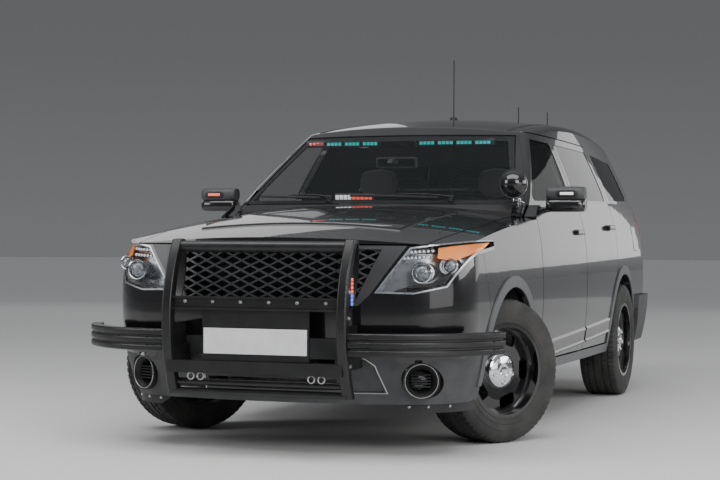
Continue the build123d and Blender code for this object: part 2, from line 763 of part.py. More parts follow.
with BuildPart() as push_wing:
    for i in range(ridge_count):
        with BuildSketch(Plane.XY.offset(wing_foot + i * (ridge_rise + groove_rise))):
            add(wing_plan.sketch_local)
        extrude(amount=ridge_rise)
    fillet(push_wing.edges().filter_by(GeomType.CIRCLE), 8)
    with BuildSketch(Plane.XY.offset(wing_foot + ridge_rise / 2)):
        add(wing_plan.sketch_local)
        offset(amount=-groove_depth, kind=Kind.INTERSECTION)
    extrude(amount=wing_rise - ridge_rise)
    add(cut(box_between((890, wing_end[1] - 30, wing_foot + ridge_rise + groove_rise),
                        (wing_tip - wing_depth + 10, wing_end[1] + 10,
                         wing_foot + 2 * ridge_rise + groove_rise)),
            tub_painted))
finish("push_wings", fused(push_wing.part, mirrored(push_wing.part)))
for place in fog_places[1:]:
    fog_lamp = kept(cut(tub_form(18), tub_form(70)), front_prism(((place[0] - 88, 250), (place[0] + 88, 250),
                    (place[0] + 88, 460), (place[0] - 88, 460)), front_axle_y, nose_y))
    with BuildPart() as fog_barrel:
        with BuildSketch(Plane.XZ.offset(-front_axle_y)):
            with Locations(place):
                Circle(88)
        extrude(amount=1200)
    fog_lamp = kept(fog_lamp, fog_barrel.part)
finish("fog_lamps", fused(fog_lamp, mirrored(fog_lamp)))

# Mirrors on the front doors
with BuildPart() as mirror_head:
    add(box_between((925, door_front_y + 165, 1172), (1146, door_front_y + 285, 1318)))
    fillet(mirror_head.edges(), 38)
    add(cut(box_between((880, door_front_y + 195, 1180), (960, door_front_y + 255, 1215)), painted))
pair("mirror", mirror_head.part)

# Cabin
dash_profile = (
    (-905, 1080), (-640, 1112), (-470, 1090), (-420, 960), (-520, 760), (-905, 760),
)
finish("dashboard", side_prism(dash_profile, -800, 800))
wheel_centre = (390, -330, 1010)
column_tilt = 24
with BuildPart() as steering_wheel:
    with BuildSketch(Plane.XZ):
        with Locations((180, 0)):
            Circle(15)
    revolve(axis=Axis.Z)
    Cylinder(62, 26)
    Box(350, 40, 14)
    with Locations((0, 0, -75)):
        Cylinder(26, 150)
steering = steering_wheel.part.rotate(Axis.X, -90 + column_tilt).moved(Location(wheel_centre))
finish("steering_wheel", cut(steering, side_prism(dash_profile, -800, 800)))


def seat(x, y, width):
    """A seat: cushion on its base, backrest and head restraint."""
    half = width / 2
    cushion = soft_block((x - half, y, 520), (x + half, y + 520, 690), 40)
    base = box_between((x - half + 60, y + 60, sill_height + 60), (x + half - 60, y + 460, 560))
    back = soft_block((x - half, y + 450, 600), (x + half, y + 580, 1270), 45)
    head = soft_block((x - 120, y + 500, 1230), (x + 120, y + 590, 1420), 35)
    return fused(base, cushion, back, head)


front_seat = seat(385, -200, 520)
finish("front_seats", fused(front_seat, mirrored(front_seat)))
with BuildPart() as rear_bench:
    add(soft_block((-620, 540, 560), (620, 1010, 720), 40))
    add(soft_block((-620, 935, 640), (620, 1060, 1300), 45))
    add(box_between((-560, 600, sill_height + 60), (560, 900, 600)))
    for x in (-380, 0, 380):
        add(soft_block((x - 120, 965, 1260), (x + 120, 1045, 1420), 30))
finish("rear_bench", rear_bench.part)
with BuildPart() as partition:
    add(kept(body_form(door_wall + 25, frame_wall + 20),
             box_between((-800, 470, sill_height + 60), (800, 495, 1600))))
    add(box_between((-560, 440, 1060), (560, 520, 1480)), mode=Mode.SUBTRACT)
finish("partition", partition.part)
with BuildPart() as light_bar:
    for side in (-1, 1):
        add(box_between((side * 340 - 225, windshield_foot + 700, 1572),
                        (side * 340 + 225, windshield_foot + 770, 1720)))
finish("light_bar", cut(kept(light_bar.part, inner_wall), windshield_zone))
with BuildPart() as interior_mirror:
    add(soft_block((-125, windshield_foot + 480, 1430), (125, windshield_foot + 510, 1495), 10))
    add(kept(box_between((-14, windshield_foot + 300, 1455), (14, windshield_foot + 490, 1480)), glass_back))
finish("interior_mirror", interior_mirror.part)
with BuildPart() as spotlight:
    with Locations((800, door_front_y, 1325)):
        Sphere(76)
    add(tube(((800, door_front_y, 1325), (800, door_front_y + 120, 1300), (800, door_front_y + 170, 1300)),
             12, 20))
finish("spotlight", cut(spotlight.part, painted))
with BuildPart() as antennas:
    for x, y, height in ((-60, 900, 430), (220, 1500, 160), (420, 1500, 120)):
        with Locations((x, y, roof_height + height / 2 - 25)):
            Cylinder(4, height + 50)
        with Locations((x, y, roof_height - 10)):
            Cylinder(22, 40)
finish("antennas", cut(antennas.part, painted))
wiper_height = 1250
wiper_radius = 7
wiper_bow = 165             # how far the foot of the windshield falls back at the sides
with BuildPart() as wipers:
    for pivot, tip in ((450, -120), (-250, -700)):
        places = []
        for share in (0, 0.35, 0.7, 1):
            x = pivot + (tip - pivot) * share
            places.append((x, windshield_foot + 25 + wiper_bow * (x / 837) ** 2, wiper_height + 14 * share))
        add(tube(places, wiper_radius, 200))
        with Locations((places[0][0], places[0][1], wiper_height - 25)):
            Cylinder(12, 50)
finish("wipers", cut(wipers.part, painted, cowl, windshield))

# Engine, underside and rear running gear
engine = [soft_block((-300, front_axle_y - 380, 430), (300, front_axle_y + 260, 930), 20)]
for x in (-230, 230):
    for y in (front_axle_y - 225, front_axle_y + 215):
        engine.append(box_between((x - 30, y - 30, 320), (x + 30, y + 30, 450)))
finish("engine_block", fused(*engine))
with BuildPart() as front_subframe:
    add(box_between((-430, front_axle_y - 260, 250), (430, front_axle_y - 190, 320)))
    add(box_between((-430, front_axle_y + 190, 250), (430, front_axle_y + 260, 320)))
    for side in (-1, 1):
        add(box_between((side * 400 - 35, front_axle_y - 420, 250),
                        (side * 400 + 35, front_axle_y + 460, 310)))
        add(box_between((side * 400 - 35, front_axle_y - 35, arm_height - 32),
                        (side * 400 + 35, front_axle_y + 35, 260)))
        add(box_between((side * 400 - 35, front_axle_y + 440, 250),
                        (side * 400 + 35, front_axle_y + 560, sill_height)))
        inner, outer = sorted((side * 400, side * (kingpin_x - 20)))
        add(box_between((inner, front_axle_y - 35, arm_height - 32), (outer, front_axle_y + 35, arm_height)))
finish("front_subframe", front_subframe.part)
with BuildPart() as rear_axle:
    add(box_between((-560, rear_axle_y - 60, axle_z - 70), (560, rear_axle_y + 60, axle_z + 20)))
    for side in (-1, 1):
        inner, outer = sorted((side * 500, side * (track / 2 + 38)))
        add(cross_cylinder(rear_axle_y, axle_z, spindle_radius, inner, outer))
        inner, outer = sorted((side * 480, side * (track / 2 - 28)))
        add(cross_cylinder(rear_axle_y, axle_z, 50, inner, outer))
        add(box_between((side * 500 - 30, rear_axle_y - 560, 230), (side * 500 + 30, rear_axle_y, 300)))
        add(box_between((side * 500 - 40, rear_axle_y - 590, 230),
                        (side * 500 + 40, rear_axle_y - 520, sill_height)))
        with Locations((side * 420, rear_axle_y, (axle_z + load_floor - 40) / 2)):
            Cylinder(46, load_floor - 40 - axle_z)
finish("rear_axle", rear_axle.part)
finish("fuel_tank", soft_block((-420, 620, 205), (200, 1150, sill_height), 20))
finish("exhaust", fused(tube(((260, -700, 245), (260, 1560, 245), (480, 1860, 290), (480, 2480, 285)), 30,
                             120),
                        soft_block((380, 1880, 220), (620, 2300, 350), 30),
                        box_between((250, -200, 260), (270, -160, sill_height)),
                        box_between((250, 1160, 260), (270, 1200, sill_height)),
                        box_between((490, 2040, 340), (510, 2100, load_floor - 40))))
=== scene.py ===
# %% [markdown]
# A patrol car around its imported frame.
# The frame holds every panel, wheel and joint at its real size.
# This script gives those solids their finishes, and adds the finer pieces that ride on them.
# All lengths are in metres. The car stands on z = 0 and faces -Y, and +X is its left side.

# %% Load the frame
import math
import bpy
import bmesh
import numpy as np
from mathutils import Matrix, Vector
from mathutils.bvhtree import BVHTree


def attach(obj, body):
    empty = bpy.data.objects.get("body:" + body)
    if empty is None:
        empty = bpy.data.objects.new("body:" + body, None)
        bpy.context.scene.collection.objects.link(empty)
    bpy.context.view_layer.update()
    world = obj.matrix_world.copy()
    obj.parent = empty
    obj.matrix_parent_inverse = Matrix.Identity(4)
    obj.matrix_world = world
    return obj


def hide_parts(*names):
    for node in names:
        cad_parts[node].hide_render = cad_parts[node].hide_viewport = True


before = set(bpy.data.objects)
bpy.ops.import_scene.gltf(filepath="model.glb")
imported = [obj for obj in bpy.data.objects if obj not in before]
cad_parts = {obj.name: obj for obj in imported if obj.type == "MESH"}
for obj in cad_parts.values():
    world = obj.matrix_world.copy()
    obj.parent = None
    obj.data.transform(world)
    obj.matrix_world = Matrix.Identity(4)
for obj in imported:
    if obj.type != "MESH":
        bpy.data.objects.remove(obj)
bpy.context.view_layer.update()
print("nodes in the frame:", len(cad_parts))

# %% [markdown]
# The camera is found first, because it decides how everything else is seen.
# It stands about ten metres ahead of the car's middle and three metres to its left, a metre above the ground,
# with a long lens. Its direction is built from three turns: yaw towards the car, pitch and roll.

# %% Camera
CAMERA_PLACE = Vector((3.189, -10.078, 1.041))
CAMERA_YAW, CAMERA_PITCH, CAMERA_ROLL = (math.radians(a) for a in (19.531, -0.146, 0.286))
CAMERA_LENS, SENSOR_WIDTH = 87.64, 36      # millimetres


def add_object(name, data):
    """A new object in the scene that shows some data: a mesh, a camera or a lamp."""
    made = bpy.data.objects.new(name, data)
    bpy.context.collection.objects.link(made)
    return made


def camera_axes():
    """Right, up and forward of the camera in the car's frame."""
    forward = Vector((-math.sin(CAMERA_YAW) * math.cos(CAMERA_PITCH),
                      math.cos(CAMERA_YAW) * math.cos(CAMERA_PITCH), math.sin(CAMERA_PITCH)))
    level_right = Vector((math.cos(CAMERA_YAW), math.sin(CAMERA_YAW), 0))
    level_up = level_right.cross(forward)
    right = level_right * math.cos(CAMERA_ROLL) + level_up * math.sin(CAMERA_ROLL)
    up = level_up * math.cos(CAMERA_ROLL) - level_right * math.sin(CAMERA_ROLL)
    return right, up, forward


right, up, forward = camera_axes()
camera_data = bpy.data.cameras.new("photo_camera")
camera_data.lens = CAMERA_LENS
camera_data.sensor_width = SENSOR_WIDTH
camera = add_object("photo_camera", camera_data)
camera.matrix_world = Matrix.Translation(CAMERA_PLACE) @ Matrix((right, up, -forward)).transposed().to_4x4()
bpy.context.scene.camera = camera
print("camera looks along", [round(v, 3) for v in forward])

# %% [markdown]
# Every finish is a small tree of nodes.
# The helpers below keep such trees short: one starts a material, one adds a node, one adds grain,
# and one lets a value wander a little over the surface, because nothing real is quite even.
# Values that are the same all over are set on the shader's own sockets.

# %% Helpers for finishes
def shader_of(material):
    return material.node_tree.nodes["Principled BSDF"]


def start_finish(name, color, roughness, metallic=0.0, **extra):
    """A new material with its shader set; extra names are shader sockets with underscores for blanks."""
    material = bpy.data.materials.new(name)
    material.use_nodes = True
    shader = shader_of(material)
    shader.inputs["Base Color"].default_value = (*color, 1)
    shader.inputs["Roughness"].default_value = roughness
    shader.inputs["Metallic"].default_value = metallic
    for key, value in extra.items():
        shader.inputs[key.replace("_", " ")].default_value = value
    return material


def node(material, kind, **settings):
    """Add a node; settings that name a socket set it, the others set the node itself."""
    made = material.node_tree.nodes.new(kind)
    for key, value in settings.items():
        if key in made.inputs:
            made.inputs[key].default_value = value
        else:
            setattr(made, key, value)
    return made


def link(material, source, target):
    material.node_tree.links.new(source, target)


def noise(material, scale, detail, stretch=(1, 1, 1)):
    """Noise over the object's own coordinates."""
    place = node(material, "ShaderNodeTexCoord")
    mapping = node(material, "ShaderNodeMapping", Scale=stretch)
    cloud = node(material, "ShaderNodeTexNoise", Scale=scale, Detail=detail)
    link(material, place.outputs["Object"], mapping.inputs["Vector"])
    link(material, mapping.outputs["Vector"], cloud.inputs["Vector"])
    return cloud


def add_grain(material, scale, height):
    """Fine moulded grain as bump, in metres of height."""
    cloud = noise(material, scale, 2.0)
    bump = node(material, "ShaderNodeBump", Strength=1.0, Distance=height)
    link(material, cloud.outputs["Fac"], bump.inputs["Height"])
    link(material, bump.outputs["Normal"], shader_of(material).inputs["Normal"])


def vary(material, socket, scale, low, high, stretch=(1, 1, 1)):
    """Let a shader value wander between two limits; colours take two colours."""
    cloud = noise(material, scale, 4.0, stretch)
    target = shader_of(material).inputs[socket]
    if isinstance(low, tuple):
        ramp = node(material, "ShaderNodeValToRGB")
        ramp.color_ramp.elements[0].position = 0.35
        ramp.color_ramp.elements[1].position = 0.68
        ramp.color_ramp.elements[0].color = (*low, 1)
        ramp.color_ramp.elements[1].color = (*high, 1)
        link(material, cloud.outputs["Fac"], ramp.inputs["Fac"])
        link(material, ramp.outputs["Color"], target)
    else:
        spread = node(material, "ShaderNodeMapRange")
        for key, value in (("From Min", 0.3), ("From Max", 0.7), ("To Min", low), ("To Max", high)):
            spread.inputs[key].default_value = value
        link(material, cloud.outputs["Fac"], spread.inputs["Value"])
        link(material, spread.outputs["Result"], target)


print("helpers for finishes:", *(f.__name__ for f in (start_finish, node, link, noise, add_grain, vary)))

# %% [markdown]
# Black paint is a dark base under a clear coat.
# The base is almost featureless, and a film of dust makes it a little rougher in some places.
# What gives it life is the clear coat, which mirrors the lamps.

# %% Paint and body plastics
paint = start_finish("body_paint", (0.004, 0.004, 0.005), 0.24, Specular_IOR_Level=0.25,
                     Coat_Weight=1.0, Coat_Roughness=0.015, Coat_IOR=1.5)
vary(paint, "Base Color", 3.0, (0.003, 0.003, 0.004), (0.006, 0.006, 0.007))
vary(paint, "Roughness", 1.2, 0.20, 0.28)

grey_trim = start_finish("grey_trim", (0.052, 0.053, 0.056), 0.62)
vary(grey_trim, "Base Color", 9.0, (0.045, 0.046, 0.049), (0.072, 0.073, 0.077))
add_grain(grey_trim, 1400, 0.00012)

arch_trim = start_finish("arch_trim", (0.085, 0.088, 0.093), 0.33)
black_trim = start_finish("black_trim", (0.012, 0.012, 0.013), 0.55)
vary(black_trim, "Roughness", 14.0, 0.45, 0.65)
add_grain(black_trim, 1100, 0.00008)

gloss_trim = start_finish("gloss_trim", (0.010, 0.010, 0.011), 0.12, Coat_Weight=0.6, Coat_Roughness=0.04)
vary(gloss_trim, "Roughness", 9.0, 0.10, 0.18)

push_coating = start_finish("push_coating", (0.009, 0.009, 0.010), 0.34)
vary(push_coating, "Base Color", 11.0, (0.007, 0.007, 0.008), (0.014, 0.014, 0.015))
vary(push_coating, "Roughness", 7.0, 0.28, 0.42)
add_grain(push_coating, 900, 0.00009)

underbody = start_finish("underbody", (0.020, 0.020, 0.021), 0.8)
vary(underbody, "Base Color", 5.0, (0.014, 0.014, 0.015), (0.045, 0.042, 0.038))
add_grain(underbody, 300, 0.0006)

cast_metal = start_finish("cast_metal", (0.09, 0.088, 0.085), 0.6, 0.7)
vary(cast_metal, "Base Color", 22.0, (0.05, 0.048, 0.046), (0.14, 0.13, 0.12))
add_grain(cast_metal, 500, 0.0004)

exhaust_steel = start_finish("exhaust_steel", (0.42, 0.40, 0.37), 0.38, 1.0)
vary(exhaust_steel, "Base Color", 6.0, (0.30, 0.26, 0.22), (0.52, 0.50, 0.47))
vary(exhaust_steel, "Roughness", 18.0, 0.28, 0.55)
print("body finishes:", paint.name, grey_trim.name, black_trim.name)

# %% [markdown]
# Chrome, lamp glass and window glass all depend on what they mirror.
# Window glass is thin and slightly smoked. It is drawn as a glossy sheet that lets most of what is behind it
# show through, and the glass behind the front doors is nearly opaque.

# %% Glass, chrome and lamps
chrome = start_finish("chrome", (0.78, 0.79, 0.81), 0.08, 1.0)
vary(chrome, "Roughness", 12.0, 0.05, 0.12)

window_glass = start_finish("window_glass", (0.010, 0.014, 0.014), 0.01, Alpha=0.20)
privacy_glass = start_finish("privacy_glass", (0.006, 0.007, 0.008), 0.015, Alpha=0.90)
lamp_lens = start_finish("lamp_lens", (0.02, 0.02, 0.02), 0.01, Alpha=0.10)
tail_lens = start_finish("tail_lens", (0.30, 0.008, 0.010), 0.10, Coat_Weight=1.0, Coat_Roughness=0.03)
vary(tail_lens, "Base Color", 40.0, (0.22, 0.004, 0.006), (0.38, 0.012, 0.014), (1, 1, 6))
plate_face = start_finish("plate_face", (0.72, 0.72, 0.73), 0.35)
vary(plate_face, "Base Color", 12.0, (0.66, 0.66, 0.67), (0.77, 0.77, 0.78))
mirror_face = start_finish("mirror_face", (0.75, 0.77, 0.79), 0.02, 1.0)
print("opacity of a front window:", round(shader_of(window_glass).inputs["Alpha"].default_value, 2))

# %% [markdown]
# Tyre rubber is dark grey and dull, with a little dust on it.
# Seat cloth and cabin plastic get their weave and grain as bump on the object's own coordinates.

# %% Rubber, cloth and cabin plastic
tyre_rubber = start_finish("tyre_rubber", (0.022, 0.022, 0.023), 0.72)
vary(tyre_rubber, "Base Color", 8.0, (0.016, 0.016, 0.017), (0.040, 0.038, 0.035))
vary(tyre_rubber, "Roughness", 12.0, 0.62, 0.82)
add_grain(tyre_rubber, 900, 0.00015)

wheel_paint = start_finish("wheel_paint", (0.006, 0.006, 0.007), 0.22, Coat_Weight=1.0, Coat_Roughness=0.05)
vary(wheel_paint, "Roughness", 10.0, 0.14, 0.26)

seat_cloth = start_finish("seat_cloth", (0.075, 0.075, 0.080), 0.9, Sheen_Weight=0.4)
vary(seat_cloth, "Base Color", 600.0, (0.050, 0.050, 0.055), (0.105, 0.105, 0.112))
add_grain(seat_cloth, 1800, 0.0003)

cabin_plastic = start_finish("cabin_plastic", (0.030, 0.030, 0.032), 0.6)
vary(cabin_plastic, "Base Color", 15.0, (0.024, 0.024, 0.026), (0.040, 0.040, 0.043))
add_grain(cabin_plastic, 1300, 0.0001)
print("materials so far:", len(bpy.data.materials))

# %% [markdown]
# The lamps need finishes of their own: silvered trays, amber plastic, projector glass,
# and lenses that glow a little.
# A lens glows with the shader's emission, which is mild enough to keep its colour.

# %% Lamp finishes
surround_grey = start_finish("surround_grey", (0.060, 0.062, 0.066), 0.38, 0.35)
vary(surround_grey, "Roughness", 8.0, 0.32, 0.46)
add_grain(surround_grey, 1500, 0.00004)
lamp_silver = start_finish("lamp_silver", (0.46, 0.48, 0.51), 0.30, 0.75)
vary(lamp_silver, "Roughness", 30.0, 0.24, 0.36)
projector_glass = start_finish("projector_glass", (0.30, 0.33, 0.37), 0.03, 0.2, Coat_Weight=1.0,
                               Coat_Roughness=0.02)
vary(projector_glass, "Base Color", 60.0, (0.20, 0.22, 0.25), (0.42, 0.45, 0.50))
fog_glass = start_finish("fog_glass", (0.060, 0.065, 0.075), 0.06, 0.3, Coat_Weight=1.0, Coat_Roughness=0.03)
vary(fog_glass, "Base Color", 50.0, (0.030, 0.033, 0.040), (0.110, 0.115, 0.125))
steel_bolt = start_finish("steel_bolt", (0.50, 0.50, 0.49), 0.32, 1.0)
vary(steel_bolt, "Roughness", 40.0, 0.24, 0.45)
grey_cap = start_finish("grey_cap", (0.050, 0.051, 0.053), 0.48)
vary(grey_cap, "Roughness", 10.0, 0.42, 0.56)
add_grain(grey_cap, 1400, 0.00005)


def glowing(name, color, strength):
    """A lamp lens of one colour that glows; fine ribs in it break up the shine."""
    material = start_finish(name, color, 0.12, Coat_Weight=0.8, Coat_Roughness=0.05,
                            Emission_Strength=strength)
    shader_of(material).inputs["Emission Color"].default_value = (*color, 1)
    bars = node(material, "ShaderNodeTexWave", Scale=160.0, Distortion=0.0)
    place = node(material, "ShaderNodeTexCoord")
    ribs = node(material, "ShaderNodeBump", Strength=0.5, Distance=0.0006)
    link(material, place.outputs["Object"], bars.inputs["Vector"])
    link(material, bars.outputs["Fac"], ribs.inputs["Height"])
    link(material, ribs.outputs["Normal"], shader_of(material).inputs["Normal"])
    return material


amber_lens = glowing("amber_lens", (1.0, 0.29, 0.05), 0.30)
bright_bulb = glowing("bright_bulb", (0.86, 0.88, 0.92), 0.35)
red_light = glowing("red_light", (0.95, 0.10, 0.06), 1.1)
dim_red_light = glowing("dim_red_light", (0.60, 0.10, 0.12), 0.35)
blue_light = glowing("blue_light", (0.12, 0.14, 0.95), 1.1)
cyan_light = glowing("cyan_light", (0.02, 0.62, 0.62), 0.75)
white_light = glowing("white_light", (0.88, 0.89, 0.90), 0.7)
print("materials with the lamps:", len(bpy.data.materials))

# %% [markdown]
# Each solid of the frame takes one finish over its whole surface.
# The table pairs a finish with the solids that wear it.

# %% Finishes on the frame
SIDES = ("left", "right")
SIGN = {"left": 1, "right": -1}      # of x on each side of the car


def both(*names):
    return [f"{name}_{side}" for name in names for side in SIDES]


NODE_FINISHES = (
    (paint, both("body_side", "fender", "door_front", "door_rear")
     + ["roof_panel", "hood", "tailgate", "front_bumper"]),
    (window_glass, both("door_glass_front") + ["windshield"]),
    (privacy_glass, both("door_glass_rear") + ["quarter_glass", "tailgate_glass"]),
    (lamp_silver, ["headlamps"]),
    (lamp_lens, ["fog_lamps"]),
    (surround_grey, ["grille"]),
    (tail_lens, ["tail_lamps"]),
    (black_trim, ["cowl_panel", "wheel_liners", "wipers", "antennas"]),
    (grey_trim, ["front_bumper_lower", "rear_bumper"]),
    (arch_trim, ["side_cladding"]),
    (push_coating, ["push_bumper", "push_wings"]),
    (gloss_trim, both("mirror")),
    (chrome, ["spotlight"]),
    (plate_face, ["front_plate"]),
    (cabin_plastic, ["dashboard", "steering_wheel", "partition", "interior_mirror", "light_bar"]),
    (seat_cloth, ["front_seats", "rear_bench"]),
    (underbody, ["floor_pan", "fuel_tank"]),
    (cast_metal, both("knuckle") + ["engine_block", "front_subframe", "rear_axle"]),
    (exhaust_steel, ["exhaust"]),
    (wheel_paint, both("wheel_front", "wheel_rear")),
    (tyre_rubber, both("tyre_front", "tyre_rear")),
)


def wear(piece, material):
    """Give a piece one material all over."""
    piece.data.materials.clear()
    piece.data.materials.append(material)


for material, names in NODE_FINISHES:
    for name in names:
        wear(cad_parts[name], material)
print("finished nodes:", sum(len(names) for _, names in NODE_FINISHES))

# %% [markdown]
# The finer pieces are drawn as small meshes.
# These helpers hold what all of them need: a box with rounded edges, a round rod, a bar that follows a path,
# a turned profile, and the last step that makes a mesh into a piece that rides on one of the car's bodies.
# Most of these shapes are rings of points with faces laid between neighbouring rings.

# %% Mesh helpers
def piece(name, mesh, material, body, smooth_below=35):
    """Turn a finished bmesh into a piece that wears one material and rides on a body."""
    bmesh.ops.remove_doubles(mesh, verts=mesh.verts, dist=1e-6)
    bmesh.ops.recalc_face_normals(mesh, faces=mesh.faces)
    data = bpy.data.meshes.new(name)
    mesh.to_mesh(data)
    mesh.free()
    data.shade_smooth()
    data.set_sharp_from_angle(angle=math.radians(smooth_below))
    data.materials.append(material)
    made = add_object(name, data)
    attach(made, body)
    return made


def block(mesh, low, high, edge=0.0, steps=2, place=Matrix()):
    """A box between two corners, with rounded edges."""
    low, high = Vector(low), Vector(high)
    at = place @ Matrix.Translation((low + high) / 2) @ Matrix.Diagonal((*(high - low), 1))
    made = bmesh.ops.create_cube(mesh, size=1, matrix=at)
    if edge:
        edges = list({e for v in made["verts"] for e in v.link_edges})
        bmesh.ops.bevel(mesh, geom=edges, offset=edge, segments=steps, profile=0.5, affect="EDGES")


# A turned shape points along +X until one of these turns it towards -Y, +Y or +Z.
FACING_FRONT = Matrix.Rotation(math.radians(-90), 4, "Z")
FACING_BACK = Matrix.Rotation(math.radians(90), 4, "Z")
FACING_UP = Matrix.Rotation(math.radians(-90), 4, "Y")


def join_rings(mesh, rings, closed=True):
    """Lay faces between neighbouring rings; closed also joins the last point of each ring to its first."""
    count = len(rings[0])
    for first, second in zip(rings, rings[1:]):
        for j in range(count if closed else count - 1):
            k = (j + 1) % count
            mesh.faces.new((first[j], first[k], second[k], second[j]))


def round_axis(along, radius, angle):
    """A point at a radius round the X axis."""
    return Vector((along, radius * math.cos(angle), radius * math.sin(angle)))


def turned(mesh, profile, steps, place=Matrix(), closed=False):
    """Turn a profile of (along, radius) pairs about the X axis; closed joins its last pair to its first."""
    rings = []
    for i in range(steps):
        angle = math.tau * i / steps
        rings.append([mesh.verts.new(place @ round_axis(along, radius, angle)) for along, radius in profile])
    join_rings(mesh, rings + rings[:1], closed)
    bmesh.ops.remove_doubles(mesh, verts=mesh.verts, dist=1e-6)


def swept(mesh, points, section, up=Vector((0, 0, 1)), taper=None):
    """Carry a closed section of (across, up) pairs along a path; taper gives a scale for each point."""
    points = [Vector(p) for p in points]
    rings = []
    for i, point in enumerate(points):
        ahead = (points[min(i + 1, len(points) - 1)] - points[max(i - 1, 0)]).normalized()
        across = ahead.cross(up).normalized()
        rise = across.cross(ahead)
        size = taper[i] if taper else 1.0
        rings.append([mesh.verts.new(point + across * u * size + rise * v * size) for u, v in section])
    join_rings(mesh, rings)
    mesh.faces.new(rings[0])
    mesh.faces.new(rings[-1][::-1])


def lofted(mesh, rings):
    """Skin through rings of equal length, closed at both ends."""
    made = [[mesh.verts.new(p) for p in ring] for ring in rings]
    join_rings(mesh, made)
    mesh.faces.new(made[0])
    mesh.faces.new(made[-1][::-1])


def round_section(radius, steps=12):
    return [(radius * math.cos(math.tau * i / steps), radius * math.sin(math.tau * i / steps))
            for i in range(steps)]


def rod(mesh, start, end, radius, steps=16):
    """A round rod between two points."""
    axis = (Vector(end) - Vector(start)).normalized()
    up = Vector((1, 0, 0)) if abs(axis.z) > 0.9 else Vector((0, 0, 1))
    swept(mesh, (start, end), round_section(radius, steps), up=up)


print("corners of a round section:", len(round_section(1.0)))

# %% [markdown]
# Many details repeat: nut pockets round a hub, bolts along a bar, fins and slats in a row.
# A Geometry Nodes tree copies one small shape along a row or round a ring,
# and its inputs say how many and how far.
# The result is turned into a plain mesh straight away, so nothing later depends on the modifier.

# %% Repeating trees
def new_tree(name, sizes):
    """A tree with a shape, a material and named number inputs; returns the tree and its group nodes."""
    tree = bpy.data.node_groups.new(name, "GeometryNodeTree")
    tree.interface.new_socket("Shape", in_out="INPUT", socket_type="NodeSocketGeometry")
    for title, kind, value in sizes:
        tree.interface.new_socket(title, in_out="INPUT", socket_type=kind).default_value = value
    tree.interface.new_socket("Finish", in_out="INPUT", socket_type="NodeSocketMaterial")
    tree.interface.new_socket("Shape", in_out="OUTPUT", socket_type="NodeSocketGeometry")
    return tree, tree.nodes.new("NodeGroupInput"), tree.nodes.new("NodeGroupOutput")


def end_tree(tree, entry, leave, copies):
    """Realize the copies, give them their finish and send them out."""
    real = tree.nodes.new("GeometryNodeRealizeInstances")
    dress = tree.nodes.new("GeometryNodeSetMaterial")
    tree.links.new(copies, real.inputs["Geometry"])
    tree.links.new(real.outputs["Geometry"], dress.inputs["Geometry"])
    tree.links.new(entry.outputs["Finish"], dress.inputs["Material"])
    tree.links.new(dress.outputs["Geometry"], leave.inputs["Shape"])


def ring_tree():
    """Copies of a shape round the Z axis, each turned to face outwards."""
    sizes = (("Count", "NodeSocketInt", 5), ("Radius", "NodeSocketFloat", 0.05))
    tree, entry, leave = new_tree("ring_of_shapes", sizes)
    circle = tree.nodes.new("GeometryNodeMeshCircle")
    place = tree.nodes.new("GeometryNodeInstanceOnPoints")
    index = tree.nodes.new("GeometryNodeInputIndex")
    share = tree.nodes.new("ShaderNodeMath")
    share.operation = "DIVIDE"
    turn = tree.nodes.new("ShaderNodeMath")
    turn.operation = "MULTIPLY"
    turn.inputs[1].default_value = math.tau
    spin = tree.nodes.new("ShaderNodeCombineXYZ")
    tree.links.new(entry.outputs["Count"], circle.inputs["Vertices"])
    tree.links.new(entry.outputs["Radius"], circle.inputs["Radius"])
    tree.links.new(index.outputs["Index"], share.inputs[0])
    tree.links.new(entry.outputs["Count"], share.inputs[1])
    tree.links.new(share.outputs["Value"], turn.inputs[0])
    tree.links.new(turn.outputs["Value"], spin.inputs["Z"])
    tree.links.new(circle.outputs["Mesh"], place.inputs["Points"])
    tree.links.new(entry.outputs["Shape"], place.inputs["Instance"])
    tree.links.new(spin.outputs["Vector"], place.inputs["Rotation"])
    end_tree(tree, entry, leave, place.outputs["Instances"])
    return tree


def row_tree():
    """Copies of a shape in a straight row."""
    sizes = (("Count", "NodeSocketInt", 5), ("Step", "NodeSocketVector", (0.1, 0, 0)))
    tree, entry, leave = new_tree("row_of_shapes", sizes)
    row = tree.nodes.new("GeometryNodeMeshLine")
    place = tree.nodes.new("GeometryNodeInstanceOnPoints")
    tree.links.new(entry.outputs["Count"], row.inputs["Count"])
    tree.links.new(entry.outputs["Step"], row.inputs["Offset"])
    tree.links.new(row.outputs["Mesh"], place.inputs["Points"])
    tree.links.new(entry.outputs["Shape"], place.inputs["Instance"])
    end_tree(tree, entry, leave, place.outputs["Instances"])
    return tree


RING, ROW = ring_tree(), row_tree()


def repeated(shape, tree, finish, **sizes):
    """A bmesh holding the copies that a tree makes of one bmesh."""
    data = bpy.data.meshes.new("unit_shape")
    shape.to_mesh(data)
    shape.free()
    holder = add_object("unit_shape", data)
    modifier = holder.modifiers.new("copies", "NODES")
    modifier.node_group = tree
    keys = {item.name: item.identifier for item in tree.interface.items_tree if item.in_out == "INPUT"}
    for title, value in (*sizes.items(), ("Finish", finish)):
        modifier[keys[title]] = value
    bpy.context.view_layer.update()
    result = bpy.data.meshes.new_from_object(holder.evaluated_get(bpy.context.evaluated_depsgraph_get()))
    copies = bmesh.new()
    copies.from_mesh(result)
    holder.modifiers.remove(modifier)
    bpy.data.objects.remove(holder)
    bpy.data.meshes.remove(data)
    bpy.data.meshes.remove(result)
    return copies


def add_copies(mesh, copies, place=Matrix()):
    """Put the copies into another bmesh."""
    bmesh.ops.transform(copies, matrix=place, verts=copies.verts)
    carried = bpy.data.meshes.new("carried")
    copies.to_mesh(carried)
    copies.free()
    mesh.from_mesh(carried)
    bpy.data.meshes.remove(carried)


